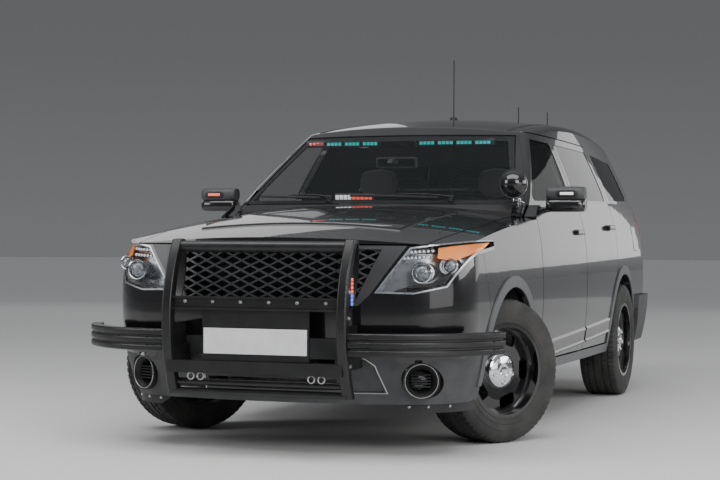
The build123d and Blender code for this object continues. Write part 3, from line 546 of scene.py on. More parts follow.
print("trees:", RING.name, ROW.name)

# %% [markdown]
# Each wheel is drawn once about its own axle and then put in its place.
# The front pair is turned 31 degrees about its kingpins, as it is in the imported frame.

# %% Wheel places
AXLE_HEIGHT, HALF_TRACK, HALF_WHEELBASE, KINGPIN = 0.3635, 0.851, 1.43, 0.8
STEER = math.radians(-31)


def wheel_place(end, side):
    """Matrix from a wheel's own frame, with X pointing outwards, to the car."""
    sign = SIGN[side]
    flip = Matrix.Rotation(math.pi, 4, "Z") if side == "right" else Matrix()
    if end == "rear":
        return Matrix.Translation((sign * HALF_TRACK, HALF_WHEELBASE, AXLE_HEIGHT)) @ flip
    pivot = Matrix.Translation((sign * KINGPIN, -HALF_WHEELBASE, AXLE_HEIGHT))
    beyond = Matrix.Translation((sign * (HALF_TRACK - KINGPIN), 0, 0))
    return pivot @ Matrix.Rotation(STEER, 4, "Z") @ beyond @ flip


CORNERS = [(end, side) for end in ("front", "rear") for side in SIDES]
print("wheel places:", [tuple(round(v, 3) for v in wheel_place(*corner).translation) for corner in CORNERS])

# %% [markdown]
# A tyre is a turned profile: bead, bulging sidewall, rounded shoulder and a nearly flat tread.
# Four grooves run round the tread and narrow ones cross it, so the mesh is walked step by step
# and the radius drops wherever a groove is.

# %% Tyres
TREAD_RADIUS, GROOVE_DEPTH, BLOCKS, STEPS_PER_BLOCK = 0.3633, 0.0075, 66, 5
SIDEWALL = ((0.1055, 0.2295), (0.1105, 0.2400), (0.1150, 0.2440), (0.1165, 0.2520), (0.1205, 0.2640),
            (0.1208, 0.2680), (0.1190, 0.2700), (0.1215, 0.2960), (0.1218, 0.3000), (0.1200, 0.3020),
            (0.1195, 0.3200), (0.1165, 0.3370), (0.1125, 0.3480))      # across, radius
TREAD = (0.1075, 0.1020, 0.0960, 0.0760, 0.0720, 0.0640, 0.0600, 0.0360, 0.0320, 0.0240, 0.0200)
GROOVES = ((0.0640, 0.0720), (0.0240, 0.0320))      # where the grooves start and end, from the tread's middle
SHOULDER, OUTER_BLOCKS, RIB_EDGE = 0.094, 0.068, 0.028      # distances from the tread's middle too


def tread_radius(across, step, upper):
    """Radius of the tread at a distance from its middle, with its round shoulder and its grooves."""
    away = abs(across)
    radius = TREAD_RADIUS - 0.0004 * (away / 0.1) ** 2 - max(0.0, away - SHOULDER) * 0.42
    if any(low - 1e-6 <= away <= high + 1e-6 for low, high in GROOVES):
        return radius - GROOVE_DEPTH
    shift = 0 if away > OUTER_BLOCKS else (2 if upper else 3)
    crossing = (step + shift) % STEPS_PER_BLOCK == 0
    if crossing and (away > OUTER_BLOCKS or RIB_EDGE < away < OUTER_BLOCKS):
        return radius - GROOVE_DEPTH * 0.8
    return radius


def tyre_mesh(place):
    """A whole tyre; a tread point has None for its radius, because that changes from step to step."""
    mesh = bmesh.new()
    steps = BLOCKS * STEPS_PER_BLOCK
    outline = ([(x, r) for x, r in SIDEWALL] + [(x, None) for x in TREAD] + [(-x, None) for x in TREAD[::-1]]
               + [(-x, r) for x, r in SIDEWALL[::-1]])
    rings = []
    for i in range(steps):
        angle = math.tau * i / steps
        ring = []
        for across, radius in outline:
            radius = radius or tread_radius(across, i, across > 0)
            ring.append(mesh.verts.new(place @ round_axis(across, radius, angle)))
        rings.append(ring)
    join_rings(mesh, rings + rings[:1])
    return mesh


for end, side in CORNERS:
    tyre = piece(f"tyre_tread_{end}_{side}", tyre_mesh(wheel_place(end, side)), tyre_rubber,
                 f"{end}_wheel_{side}", 30)
    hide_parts(f"tyre_{end}_{side}")
print("faces in one tyre:", len(tyre.data.polygons))

# %% [markdown]
# The steel wheels carry bright caps. A cap is a shallow dome with five round pockets for the nuts.
# Its profile is turned, and the ring tree sets a short sleeve and a nut into each pocket.
# Behind the windows of the wheel there is a brake disc with its caliper.

# %% Hub caps and brakes
CAP_BASE, CAP_RADIUS = 0.058, 0.090
NUT_COUNT, NUT_CIRCLE = 5, 0.060


def hub_cap(place):
    mesh = bmesh.new()
    dome = [(CAP_BASE, CAP_RADIUS), (CAP_BASE + 0.012, CAP_RADIUS), (CAP_BASE + 0.018, CAP_RADIUS - 0.005),
            (CAP_BASE + 0.026, 0.070), (CAP_BASE + 0.031, 0.048), (CAP_BASE + 0.033, 0.034),
            (CAP_BASE + 0.028, 0.032), (CAP_BASE + 0.028, 0.024), (CAP_BASE + 0.037, 0.020),
            (CAP_BASE + 0.039, 0.0)]
    turned(mesh, dome, 64, place)
    sleeve = bmesh.new()
    turned(sleeve, [(0.0, 0.0125), (0.008, 0.0125), (0.009, 0.0110), (0.008, 0.0098), (0.003, 0.0090)], 20,
           FACING_UP)
    turned(sleeve, [(0.002, 0.0070), (0.007, 0.0070), (0.009, 0.0055), (0.0095, 0.0)], 6, FACING_UP)
    nuts = repeated(sleeve, RING, chrome, Count=NUT_COUNT, Radius=NUT_CIRCLE)
    on_cap = Matrix.Translation((CAP_BASE + 0.024, 0, 0)) @ Matrix.Rotation(math.radians(90), 4, "Y")
    add_copies(mesh, nuts, place @ on_cap)
    return mesh


def brake(place):
    """A disc with a slot between its two faces, and a block for the caliper."""
    mesh = bmesh.new()
    turned(mesh, [(-0.052, 0.076), (-0.052, 0.160), (-0.042, 0.160), (-0.042, 0.164), (-0.038, 0.164),
                  (-0.038, 0.160), (-0.028, 0.160), (-0.028, 0.076)], 72, place, closed=True)
    block(mesh, (-0.075, -0.165, 0.02), (-0.012, -0.105, 0.13), 0.008, place=place)
    return mesh


for end, side in CORNERS:
    place = wheel_place(end, side)
    piece(f"hub_cap_{end}_{side}", hub_cap(place), chrome, f"{end}_wheel_{side}", 40)
    brake_body = f"steering_{side}" if end == "front" else "root"
    piece(f"brake_{end}_{side}", brake(place), cast_metal, brake_body, 40)
print("hub caps and brakes:", 2 * len(CORNERS))

# %% [markdown]
# Many front pieces lie flush with the paint, so the script needs the paint's own surface.
# A ray from straight ahead finds it on the frame's panels, and a smooth polynomial through such hits
# carries the surface on across an opening, such as the one where a headlamp sits.

# %% Finding the painted surface
def panel_tree(*names):
    """A search tree over some of the frame's nodes."""
    points, faces = [], []
    for name in names:
        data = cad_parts[name].data
        base = len(points)
        points.extend(v.co.copy() for v in data.vertices)
        faces.extend([base + i for i in polygon.vertices] for polygon in data.polygons)
    return BVHTree.FromPolygons(points, faces)


nose = panel_tree("front_bumper", "front_bumper_lower", "fender_left", "fender_right", "hood", "grille",
                  "headlamps")
RAY_START = -2.46      # y of a place ahead of the paint


def nose_depth(x, z, default=-2.3):
    """Where a ray from straight ahead meets the nose."""
    hit = nose.ray_cast(Vector((x, RAY_START, z)), Vector((0, 1, 0)))[0]
    return hit.y if hit else default


def fit_surface(terms, places, depths):
    """The surface y(x, z) that comes closest to the depths at some places, as a weighted sum of terms."""
    weights = np.linalg.lstsq(np.array([terms(x, z) for x, z in places]), np.array(depths), rcond=None)[0]
    return lambda x, z: float(np.dot(terms(x, z), weights))


def fitted_depth(points):
    """A cubic surface y(x, z) through the nose's paint at some places."""
    centre = np.array(points).mean(axis=0)

    def terms(x, z):
        u, v = x - centre[0], z - centre[1]
        return [1, u, v, u * u, u * v, v * v, u ** 3, u * u * v, u * v * v, v ** 3]

    return fit_surface(terms, points, [nose_depth(x, z) for x, z in points])


def inset_outline(outline, amount):
    """An outline moved inwards by an amount; a negative amount moves it out."""
    moved = []
    for i, point in enumerate(outline):
        before, after = Vector(outline[i - 1]), Vector(outline[(i + 1) % len(outline)])
        point = Vector(point)
        first, second = (point - before).normalized(), (after - point).normalized()
        normal = Vector((-first.y - second.y, first.x + second.x)).normalized()
        stretch = max(normal.dot(Vector((-first.y, first.x))), 0.4)
        moved.append(tuple(point + normal * amount / stretch))
    return moved


def walked(outline, step):
    """Points round an outline, about a step apart."""
    points = []
    for i, start in enumerate(outline):
        start, end = Vector(start), Vector(outline[(i + 1) % len(outline)])
        count = max(1, int((end - start).length / step))
        points.extend(tuple(start.lerp(end, k / count)) for k in range(count))
    return points


def filled(mesh, outline, depth, step=0.012):
    """A skin inside an outline in front view, lying at depth(x, z)."""
    flat = bmesh.new()
    rim = [flat.verts.new((x, 0, z)) for x, z in walked(outline, step)]
    face = flat.faces.new(rim)
    bmesh.ops.triangulate(flat, faces=[face])
    low_x, high_x = min(v.co.x for v in flat.verts), max(v.co.x for v in flat.verts)
    low_z, high_z = min(v.co.z for v in flat.verts), max(v.co.z for v in flat.verts)
    cuts = [((x, 0, 0), (1, 0, 0)) for x in np.arange(low_x + step, high_x, step)]
    cuts += [((0, 0, z), (0, 0, 1)) for z in np.arange(low_z + step, high_z, step)]
    for place, direction in cuts:
        bmesh.ops.bisect_plane(flat, geom=flat.verts[:] + flat.edges[:] + flat.faces[:], plane_co=place,
                               plane_no=direction, dist=1e-6)
    for vertex in flat.verts:
        vertex.co.y = depth(vertex.co.x, vertex.co.z)
    add_copies(mesh, flat)


def thickened(mesh, amount):
    """Give an open skin a thickness towards the rear of the car."""
    made = bmesh.ops.extrude_face_region(mesh, geom=mesh.faces[:])
    for vertex in (g for g in made["geom"] if isinstance(g, bmesh.types.BMVert)):
        vertex.co.y += amount


print("paint at the middle of the nose:", round(nose_depth(0.0, 0.65), 3))

# %% [markdown]
# Behind the grille's mesh sits the radiator with its fine fins, which keeps the opening dark.

# %% Radiator
radiator_mesh = bmesh.new()
block(radiator_mesh, (-0.56, -2.215, 0.50), (0.56, -2.185, 0.96), 0.004)
fin = bmesh.new()
block(fin, (-0.54, -0.004, -0.0015), (0.54, 0.004, 0.0015))
FIN_COUNT, FIN_STEP = 40, 0.011
add_copies(radiator_mesh, repeated(fin, ROW, cabin_plastic, Count=FIN_COUNT, Step=(0, 0, FIN_STEP)),
           Matrix.Translation((0, -2.219, 0.515)))
piece("radiator", radiator_mesh, black_trim, "root")
print("height of the fins:", round(FIN_COUNT * FIN_STEP, 3))

# %% [markdown]
# A headlamp is a silvered housing under a clear cover. Two rows of small lamps run along its top,
# an amber lamp fills the outer end, a black strip runs along its foot, and each projector has a chrome ring
# and a glass ball. The cover continues the paint's surface,
# so it is made from the fitted surface of the panels around it.

# %% Headlamps
LAMP_OUTLINE = ((0.520, 0.772), (0.672, 0.986), (0.800, 1.005), (0.948, 1.026), (0.925, 0.960),
                (0.838, 0.800), (0.700, 0.768))
AMBER_OUTLINE = ((0.795, 0.936), (0.790, 0.984), (0.868, 0.998), (0.939, 1.009), (0.926, 0.969),
                 (0.858, 0.924))
BLACK_STRIP = ((0.600, 0.780), (0.680, 0.806), (0.780, 0.822), (0.856, 0.880), (0.835, 0.822),
               (0.790, 0.796), (0.700, 0.779))
PROJECTORS = ((0.735, 0.868, 1.0), (0.842, 0.900, 0.72))     # x, z, size of the bright parts
BULB_ROWS, BULBS_PER_ROW, BULB_STEP, ROW_DROP = 2, 8, 0.0185, 0.028
OPENING_EDGE = -1.66       # a ray that gets further back than this y has missed the panels round the lamp
PARTS_DEPTH = 0.022        # how far the bulbs and projectors stand behind the cover


def mirrored_outline(outline):
    return tuple((-x, z) for x, z in reversed(outline))


def cover_surface(outline):
    """The paint's surface carried on across the lamp."""
    rim = walked(inset_outline(outline, -0.0035), 0.01)
    rim = [p for p in rim if nose_depth(*p, default=0) < OPENING_EDGE]
    rough = fitted_depth(rim)
    return fitted_depth([p for p in rim if abs(nose_depth(*p) - rough(*p)) < 0.012])


def lamp_part(surface, outline, back, thickness):
    """A skin that follows the cover at a distance behind it, with a thickness."""
    mesh = bmesh.new()
    filled(mesh, outline, lambda x, z: surface(x, z) + back, 0.02)
    thickened(mesh, thickness)
    return mesh


def add_lamp(side):
    """The cover, the amber lamp and the black strip, and then the parts behind them."""
    own_side = mirrored_outline if side == "right" else tuple
    surface = cover_surface(own_side(LAMP_OUTLINE))
    parts = (
        ("cover", inset_outline(own_side(LAMP_OUTLINE), -0.008), 0.002, 0.002, lamp_lens),
        ("amber", own_side(AMBER_OUTLINE), 0.014, 0.012, amber_lens),
        ("strip", own_side(BLACK_STRIP), 0.016, 0.010, gloss_trim),
    )
    for name, outline, back, thickness, finish in parts:
        piece(f"headlamp_{name}_{side}", lamp_part(surface, outline, back, thickness), finish, "root", 50)
    add_bulbs(side, surface)
    add_projectors(side, surface)


def add_bulbs(side, surface):
    """Two rows of small lamps in bright sleeves."""
    bulbs, holders = bmesh.new(), bmesh.new()
    for row in range(BULB_ROWS):
        for column in range(BULBS_PER_ROW):
            x = SIGN[side] * (0.640 + column * BULB_STEP - row * 0.012)
            z = 0.924 + abs(x) * 0.06 - row * ROW_DROP
            at = Matrix.Translation((x, surface(x, z) + PARTS_DEPTH, z)) @ FACING_FRONT
            turned(bulbs, [(-0.006, 0.0066), (0.002, 0.0066), (0.005, 0.0045), (0.006, 0.0)], 12, at)
            turned(holders, [(-0.008, 0.0068), (0.004, 0.0070), (0.004, 0.0084), (-0.008, 0.0088)], 12, at,
                   closed=True)
    piece(f"headlamp_bulbs_{side}", bulbs, bright_bulb, "root", 50)
    piece(f"headlamp_holders_{side}", holders, chrome, "root", 50)


def add_projectors(side, surface):
    """Glass balls in chrome rings, a large one and a small one."""
    rings, balls = bmesh.new(), bmesh.new()
    for across, z, size in PROJECTORS:
        x = SIGN[side] * across
        at = Matrix.Translation((x, surface(x, z) + PARTS_DEPTH, z)) @ FACING_FRONT @ Matrix.Scale(size, 4)
        turned(rings, [(-0.010, 0.040), (0.002, 0.041), (0.006, 0.045), (0.005, 0.049), (-0.002, 0.052),
                       (-0.010, 0.051)], 48, at, closed=True)
        turned(balls, [(-0.022, 0.039), (-0.010, 0.037), (0.000, 0.029), (0.006, 0.016), (0.008, 0.0)],
               40, at)
    piece(f"headlamp_rings_{side}", rings, chrome, "root", 50)
    piece(f"headlamp_projectors_{side}", balls, projector_glass, "root", 60)


for side in SIDES:
    add_lamp(side)
print("small lamps per headlamp:", BULB_ROWS * BULBS_PER_ROW)

# %% [markdown]
# The lower bumper is grained plastic with two round lamps in dished rings,
# and a dark pocket beside each upright of the push bumper.
# Thin slats cross each dish in front of its lamp, and each pocket has a thin bright rim.

# %% Fog lamps and pockets
FOG_PLACE = (0.720, 0.360)
POCKET = ((0.350, 0.300), (0.560, 0.300), (0.515, 0.430), (0.470, 0.462), (0.350, 0.462))
BUMPER_EDGE = -1.9         # a ray that gets further back than this y has missed the bumper's face
SLAT_COUNT, SLAT_STEP = 5, 0.014


def add_fog_lamp(side):
    """A dished ring with slats, a bright line round it, and the lens, which is returned."""
    x, z = SIGN[side] * FOG_PLACE[0], FOG_PLACE[1]
    around = [(x + 0.11 * math.cos(a / 12 * math.tau),
               z + 0.10 * math.sin(a / 12 * math.tau)) for a in range(12)]
    around = [p for p in around if nose_depth(*p, default=0) < BUMPER_EDGE]
    depth = fitted_depth(around + inset_outline(around, -0.01))
    slope = math.atan2(depth(x + 0.05, z) - depth(x - 0.05, z), 0.1)
    face = Matrix.Translation((x, depth(x, z), z)) @ Matrix.Rotation(slope, 4, "Z") @ FACING_FRONT
    bezel = bmesh.new()
    turned(bezel, [(-0.070, 0.050), (-0.030, 0.053), (-0.004, 0.074), (0.004, 0.083), (0.005, 0.088),
                   (-0.002, 0.0895), (-0.010, 0.088), (-0.070, 0.070)], 56, face, closed=True)
    slat = bmesh.new()
    block(slat, (-0.034, -0.047, -0.0022), (-0.012, 0.047, 0.0022), 0.001)
    add_copies(bezel, repeated(slat, ROW, black_trim, Count=SLAT_COUNT, Step=(0, 0, SLAT_STEP)),
               face @ Matrix.Translation((0, 0, -0.028)))
    piece(f"fog_bezel_{side}", bezel, black_trim, "root", 40)
    line = bmesh.new()
    turned(line, [(0.004, 0.0770), (0.006, 0.0780), (0.006, 0.0800), (0.004, 0.0810)], 56, face, closed=True)
    piece(f"fog_line_{side}", line, steel_bolt, "root", 40)
    lens = bmesh.new()
    turned(lens, [(-0.072, 0.051), (-0.056, 0.049), (-0.046, 0.034), (-0.042, 0.0)], 40, face)
    return piece(f"fog_lens_{side}", lens, fog_glass, "root", 50)


fog_glasses = [add_fog_lamp(side) for side in SIDES]
for glass in fog_glasses:
    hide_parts("fog_lamps")
RIM_PROFILE = ((0.004, 0.006), (0.004, -0.002), (0.000, -0.003), (-0.003, 0.003))    # inset, depth
for side in SIDES:
    outline = POCKET if side == "left" else mirrored_outline(POCKET)
    edge = walked(inset_outline(outline, -0.016), 0.012)
    depth = fitted_depth([p for p in edge if nose_depth(*p, default=0) < BUMPER_EDGE])
    rim = bmesh.new()
    loops = []
    for inset, back in RIM_PROFILE:
        pairs = walked(inset_outline(outline, -inset), 0.02)
        loops.append([rim.verts.new((x, depth(x, z) + back, z)) for x, z in pairs])
    size = min(len(loop) for loop in loops)
    join_rings(rim, [loop[:size] for loop in loops])
    piece(f"pocket_rim_{side}", rim, steel_bolt, "root", 40)
print("fog lamps:", [round(g.data.vertices[0].co.y, 3) for g in fog_glasses])

# %% [markdown]
# The push bumper is bolted together. Hexagonal heads run along its channel and up its brackets, and a pair
# of lifting rings hangs under the plate at each side. The row tree sets the heads along the channel.

# %% Bolts and rings of the push bumper
def bolt_head(radius, height, turn):
    """A hexagonal head with a washer."""
    mesh = bmesh.new()
    turned(mesh, [(0.0, radius * 1.35), (0.0015, radius * 1.35), (0.0020, radius * 1.25), (0.0020, radius)],
           20, turn)
    turned(mesh, [(0.0020, radius), (height * 0.85, radius), (height, radius * 0.8), (height, 0.0)], 6, turn)
    return mesh


PUSH_FRONT, PUSH_HALF = -2.590, 0.440      # its foremost y, and half the distance between its uprights
CHANNEL_BOLTS, CHANNEL_STEP = 6, 0.142
BRACKET_HEIGHTS = (0.44, 0.545, 0.66, 0.78)
bolts = bmesh.new()
channel_head = bolt_head(0.0065, 0.007, FACING_FRONT)
add_copies(bolts, repeated(channel_head, ROW, steel_bolt, Count=CHANNEL_BOLTS, Step=(CHANNEL_STEP, 0, 0)),
           Matrix.Translation((-0.355, PUSH_FRONT + 0.036, 0.728)))
for sign in (-1, 1):
    outwards = Matrix.Rotation(math.pi, 4, "Z") if sign < 0 else Matrix()
    for height in BRACKET_HEIGHTS:
        y = PUSH_FRONT + 0.045 + 0.9 * max(0.0, (abs(height - 0.65) - 0.05)) ** 2
        place = Matrix.Translation((sign * (PUSH_HALF + 0.024), y, height))
        add_copies(bolts, bolt_head(0.0075, 0.008, outwards), place)
piece("push_bumper_bolts", bolts, steel_bolt, "root", 30)

RING_RADIUS, RING_POINTS = 0.0165, 20
rings = bmesh.new()
for x in (-0.33, -0.28, 0.28, 0.33):
    centre = Vector((x, PUSH_FRONT + 0.050, 0.376))
    circles = []
    for a in range(RING_POINTS):
        angle = a / RING_POINTS * math.tau
        out = Vector((math.cos(angle), 0, math.sin(angle)))
        circles.append([rings.verts.new(centre + out * (RING_RADIUS + u) + Vector((0, 1, 0)) * v)
                        for u, v in round_section(0.0042, 8)])
    join_rings(rings, circles + circles[:1])
piece("lifting_rings", rings, steel_bolt, "root", 60)
print("bolt heads:", CHANNEL_BOLTS + 2 * len(BRACKET_HEIGHTS))

# %% [markdown]
# Under the wings the lower bumper has a gloss black band,
# and below it hangs a rubber valance with round rivets.

# %% Gloss band and valance
BAND = ((0.592, 0.497), (0.895, 0.512), (0.890, 0.462), (0.634, 0.440))
VALANCE_POINTS, VALANCE_STEP = 15, 0.0205
for side in SIDES:
    outline = BAND if side == "left" else mirrored_outline(BAND)
    band = bmesh.new()
    filled(band, outline, lambda x, z: nose_depth(x, z) - 0.0015, 0.02)
    thickened(band, 0.004)
    piece(f"gloss_band_{side}", band, gloss_trim, "root", 40)
    sign = SIGN[side]
    places = [(sign * (0.585 + VALANCE_STEP * i), 0.255) for i in range(VALANCE_POINTS)]
    edge = [Vector((x, nose_depth(x, z) + 0.022, z)) for x, z in places]
    rubber = bmesh.new()
    drop = [0.018 + 0.034 * min(1.0, i / 3) for i in range(VALANCE_POINTS)]
    lofted(rubber, [[p, p + Vector((0, 0.006, 0)), p + Vector((0, 0.010, -d)), p + Vector((0, 0.004, -d))]
                    for p, d in zip(edge, drop)])
    piece(f"valance_{side}", rubber, black_trim, "root", 40)
    rivets = bmesh.new()
    for i in (3, 7, 11):
        at = Matrix.Translation(edge[i] + Vector((0, 0.002, -0.022))) @ FACING_FRONT
        turned(rivets, [(-0.002, 0.007), (0.002, 0.007), (0.004, 0.004), (0.0045, 0.0)], 14, at)
    piece(f"valance_rivets_{side}", rivets, steel_bolt, "root", 40)
print("length of the valance:", round(VALANCE_STEP * (VALANCE_POINTS - 1), 3))

# %% [markdown]
# Each upright is doubled in its upper half: a second strap leaves its top in a round arch,
# runs down just ahead of the nose and comes back to the upright above the wing.

# %% Rear straps of the uprights
STRAP_PATH = ((-2.462, 1.000), (-2.452, 1.013), (-2.436, 1.019), (-2.418, 1.014), (-2.407, 0.998),
              (-2.404, 0.960), (-2.410, 0.890), (-2.424, 0.820), (-2.452, 0.755), (-2.500, 0.705),
              (-2.540, 0.690))      # y, z
STRAP_SECTION = ((-0.022, -0.004), (0.022, -0.004), (0.022, 0.004), (-0.022, 0.004))
for side in SIDES:
    sign = SIGN[side]
    strap = bmesh.new()
    swept(strap, [(sign * PUSH_HALF, y, z) for y, z in STRAP_PATH], STRAP_SECTION, up=Vector((0, -1, 0.01)))
    piece(f"upright_strap_{side}", strap, push_coating, "root", 30)
print("points along a strap:", len(STRAP_PATH))

# %% [markdown]
# A slim warning lamp sits between the two straps of the left upright and shines outwards.
# It has a black case and a row of lenses, red at the top and blue at the foot.

# %% Warning lamp on the upright
def lamp_row(name, places, size, finish, body="root"):
    """Small rounded lenses at the given centres."""
    mesh = bmesh.new()
    for centre in places:
        low = [c - s / 2 for c, s in zip(centre, size)]
        high = [c + s / 2 for c, s in zip(centre, size)]
        block(mesh, low, high, min(size) * 0.3, 2)
    return piece(name, mesh, finish, body, 50)


case = bmesh.new()
block(case, (0.440, -2.520, 0.715), (0.462, -2.478, 0.868), 0.004)
piece("upright_lamp_case", case, black_trim, "root")
UPRIGHT_LENS, LENS_STEP = (0.006, 0.026, 0.015), 0.0185
lamp_row("upright_lamp_red", [(0.463, -2.499, 0.782 + i * LENS_STEP) for i in range(4)], UPRIGHT_LENS,
         red_light)
lamp_row("upright_lamp_blue", [(0.463, -2.499, 0.726 + i * LENS_STEP) for i in range(3)], UPRIGHT_LENS,
         blue_light)
print("warning lamp: 7 lenses")

# %% [markdown]
# The door mirrors have two parts: a gloss black lower shell,
# and a matt grey cap that holds a small warning lamp.
# Both are lofted from rounded outlines, fuller at the middle and drawn in towards the tip.

# %% Door mirrors
def rounded_outline(width, height, corner, steps=6):
    """A rounded rectangle round the origin as (across, up) pairs."""
    points = []
    for cx, cz, start in ((1, 1, 0), (-1, 1, 90), (-1, -1, 180), (1, -1, 270)):
        for i in range(steps + 1):
            angle = math.radians(start + 90 * i / steps)
            points.append((cx * (width / 2 - corner) + corner * math.cos(angle),
                           cz * (height / 2 - corner) + corner * math.sin(angle)))
    return points


SHARES = ((0.0, 0.72), (0.04, 0.86), (0.14, 0.96), (0.35, 1.0), (0.65, 1.0), (0.84, 0.94), (0.94, 0.82),
          (1.0, 0.62))       # share of the length, fullness there
MIRROR_ROOT, MIRROR_LENGTH, MIRROR_DEPTH = 0.932, 0.212, 0.114


def mirror_shell(sign, low, high, swell):
    """A shell along X between two heights, thickest at the middle of its length."""
    rings = []
    for share, fullness in SHARES:
        x = MIRROR_ROOT + MIRROR_LENGTH * share
        depth, rise = MIRROR_DEPTH * fullness, (high - low) * (0.55 + 0.45 * fullness)
        middle_z = (low + high) / 2 - (1 - fullness) * swell
        ring = rounded_outline(depth, rise, min(depth, rise) * 0.42)
        rings.append([Vector((sign * x, -0.625 + u, middle_z + v)) for u, v in ring])
    return rings


for side in SIDES:
    sign = SIGN[side]
    shell = bmesh.new()
    lofted(shell, mirror_shell(sign, 1.176, 1.252, 0.010))
    arm = [Vector((sign * x, y, z))
           for x, y, z in ((0.905, -0.632, 1.186), (0.935, -0.632, 1.190), (0.975, -0.630, 1.202))]
    swept(shell, arm, rounded_outline(0.070, 0.034, 0.014))
    lower = piece(f"mirror_shell_{side}", shell, gloss_trim, f"front_door_{side}", 50)
    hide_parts(f"mirror_{side}")
    cap = bmesh.new()
    lofted(cap, mirror_shell(sign, 1.236, 1.316, -0.006))
    piece(f"mirror_cap_{side}", cap, grey_cap, f"front_door_{side}", 50)
    face = bmesh.new()
    lofted(face, [[Vector((sign * 1.042 + u, y, 1.246 + v)) for u, v in rounded_outline(0.178, 0.118, 0.035)]
                  for y in (-0.575, -0.566)])
    piece(f"mirror_glass_{side}", face, mirror_face, f"front_door_{side}", 30)
    case = bmesh.new()
    lofted(case, [[Vector((sign * 1.052 + u * s, y, 1.276 + v * s))
                   for u, v in rounded_outline(0.118, 0.036, 0.017)]
                  for y, s in ((-0.672, 1.0), (-0.682, 1.0), (-0.685, 0.9))])
    piece(f"mirror_lamp_case_{side}", case, black_trim, f"front_door_{side}", 40)
    lamp_row(f"mirror_lamp_{side}", [(sign * 1.052 + (i - 2.5) * 0.0125, -0.685, 1.276) for i in range(6)],
             (0.011, 0.006, 0.015), white_light if side == "left" else red_light, f"front_door_{side}")
print("mirrors reach out to", round(MIRROR_ROOT + MIRROR_LENGTH, 3))

# %% [markdown]
# The searchlight at the left pillar is a gloss black bowl with a chrome rim and bracket.
# It is parked facing the rear, so its round back shows from ahead, and its handle runs back into the pillar.

# %% Searchlight
SEARCHLIGHT = Vector((0.800, -0.850, 1.325))
aim = Matrix.Translation(SEARCHLIGHT) @ FACING_BACK
bowl = bmesh.new()
angles = [math.radians(a) for a in range(-88, 50, 6)]
dome = [(0.0725 * math.sin(a), 0.0745 * math.cos(a)) for a in angles]
turned(bowl, dome + [(0.058, 0.046), (0.058, 0.0)], 48, aim)
bowl_piece = piece("searchlight_bowl", bowl, gloss_trim, "root", 50)
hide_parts("spotlight")
rim = bmesh.new()
turned(rim, [(-0.016, 0.0745), (-0.016, 0.0765), (-0.004, 0.0768), (0.000, 0.0740), (-0.006, 0.0700)],
       48, aim, closed=True)
rod(rim, SEARCHLIGHT + Vector((0.0, 0.020, -0.070)), SEARCHLIGHT + Vector((0.012, 0.060, -0.115)), 0.011)
block(rim, (0.793, -0.850, 1.225), (0.829, -0.800, 1.250), 0.006)
rod(rim, (0.812, -0.822, 1.235), (0.830, -0.700, 1.215), 0.009)
piece("searchlight_bracket", rim, chrome, "root", 40)
print("searchlight at", tuple(SEARCHLIGHT))

# %% [markdown]
# Each wiper is an arm with a hinge cap at its foot and a thin blade, parked along the foot of the glass.
# The glass bows forward at its middle, so a parabola gives the places of both.

# %% Wipers
WIPERS = ((0.450, -0.120), (-0.250, -0.700))      # x of the pivot and of the tip
WIPER_FOOT, WIPER_BOW = -0.925, 0.165 / 0.837 ** 2      # y on the middle line, and the parabola's factor


def blade_place(pivot, tip, share, lift=0.0):
    """A place on a parked blade; it follows the foot of the glass."""
    x = pivot + (tip - pivot) * share
    return Vector((x, WIPER_FOOT + WIPER_BOW * x * x, 1.250 + 0.014 * share + lift))


wiper_mesh = bmesh.new()
for pivot, tip in WIPERS:
    foot = blade_place(pivot, tip, 0, 0.004)
    turned(wiper_mesh, [(-0.024, 0.013), (-0.004, 0.013), (-0.002, 0.018), (0.006, 0.018), (0.010, 0.013),
                        (0.011, 0.0)], 24, Matrix.Translation(foot) @ FACING_UP)
    blade = [blade_place(pivot, tip, 0.12 + 0.88 * i / 12) for i in range(13)]
    swept(wiper_mesh, blade, rounded_outline(0.008, 0.015, 0.003, 3))
    arm = [blade_place(pivot, tip, share, lift)
           for share, lift in ((0, 0.008), (0.2, 0.016), (0.4, 0.015), (0.56, 0.010))]
    swept(wiper_mesh, arm, rounded_outline(0.012, 0.007, 0.003, 3), taper=(1.3, 1.15, 1.0, 0.7))
wiper_set = piece("wiper_arms", wiper_mesh, black_trim, "root", 40)
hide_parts("wipers")
print("wipers:", len(WIPERS))

# %% [markdown]
# The glass has a black printed border that hides the glue.
# It is a thin band just inside the windshield's edge, close behind the glass.
# Rays find the glass at many places, and a smooth surface through the hits shapes the band.

# %% Windshield border
glass_tree = panel_tree("windshield")
SHIELD_OUTER = ((-0.793, 1.219), (0.793, 1.219), (0.634, 1.621), (-0.634, 1.621))
SHIELD_INNER = ((-0.766, 1.237), (0.766, 1.237), (0.612, 1.592), (-0.612, 1.592))
BORDER_STEPS, BORDER_BACK = 24, 0.0075     # points along each edge, distance behind the outer face


def glass_depth(x, z):
    """The depth at which a ray from straight ahead meets the windshield."""
    hit = glass_tree.ray_cast(Vector((x, -1.6, z)), Vector((0, 1, 0)))[0]
    return hit.y if hit else None


def shield_terms(x, z):
    u, v = x, z - 1.4
    return [1, u, v, u * u, u * v, v * v, u ** 3, u * u * v, u * v * v, v ** 3, u ** 4, u * u * v * v]


def divided(corners):
    """Each edge of an outline in the same number of steps."""
    points = []
    for i, start in enumerate(corners):
        start, end = Vector(start), Vector(corners[(i + 1) % len(corners)])
        points.extend(tuple(start.lerp(end, k / BORDER_STEPS)) for k in range(BORDER_STEPS))
    return points


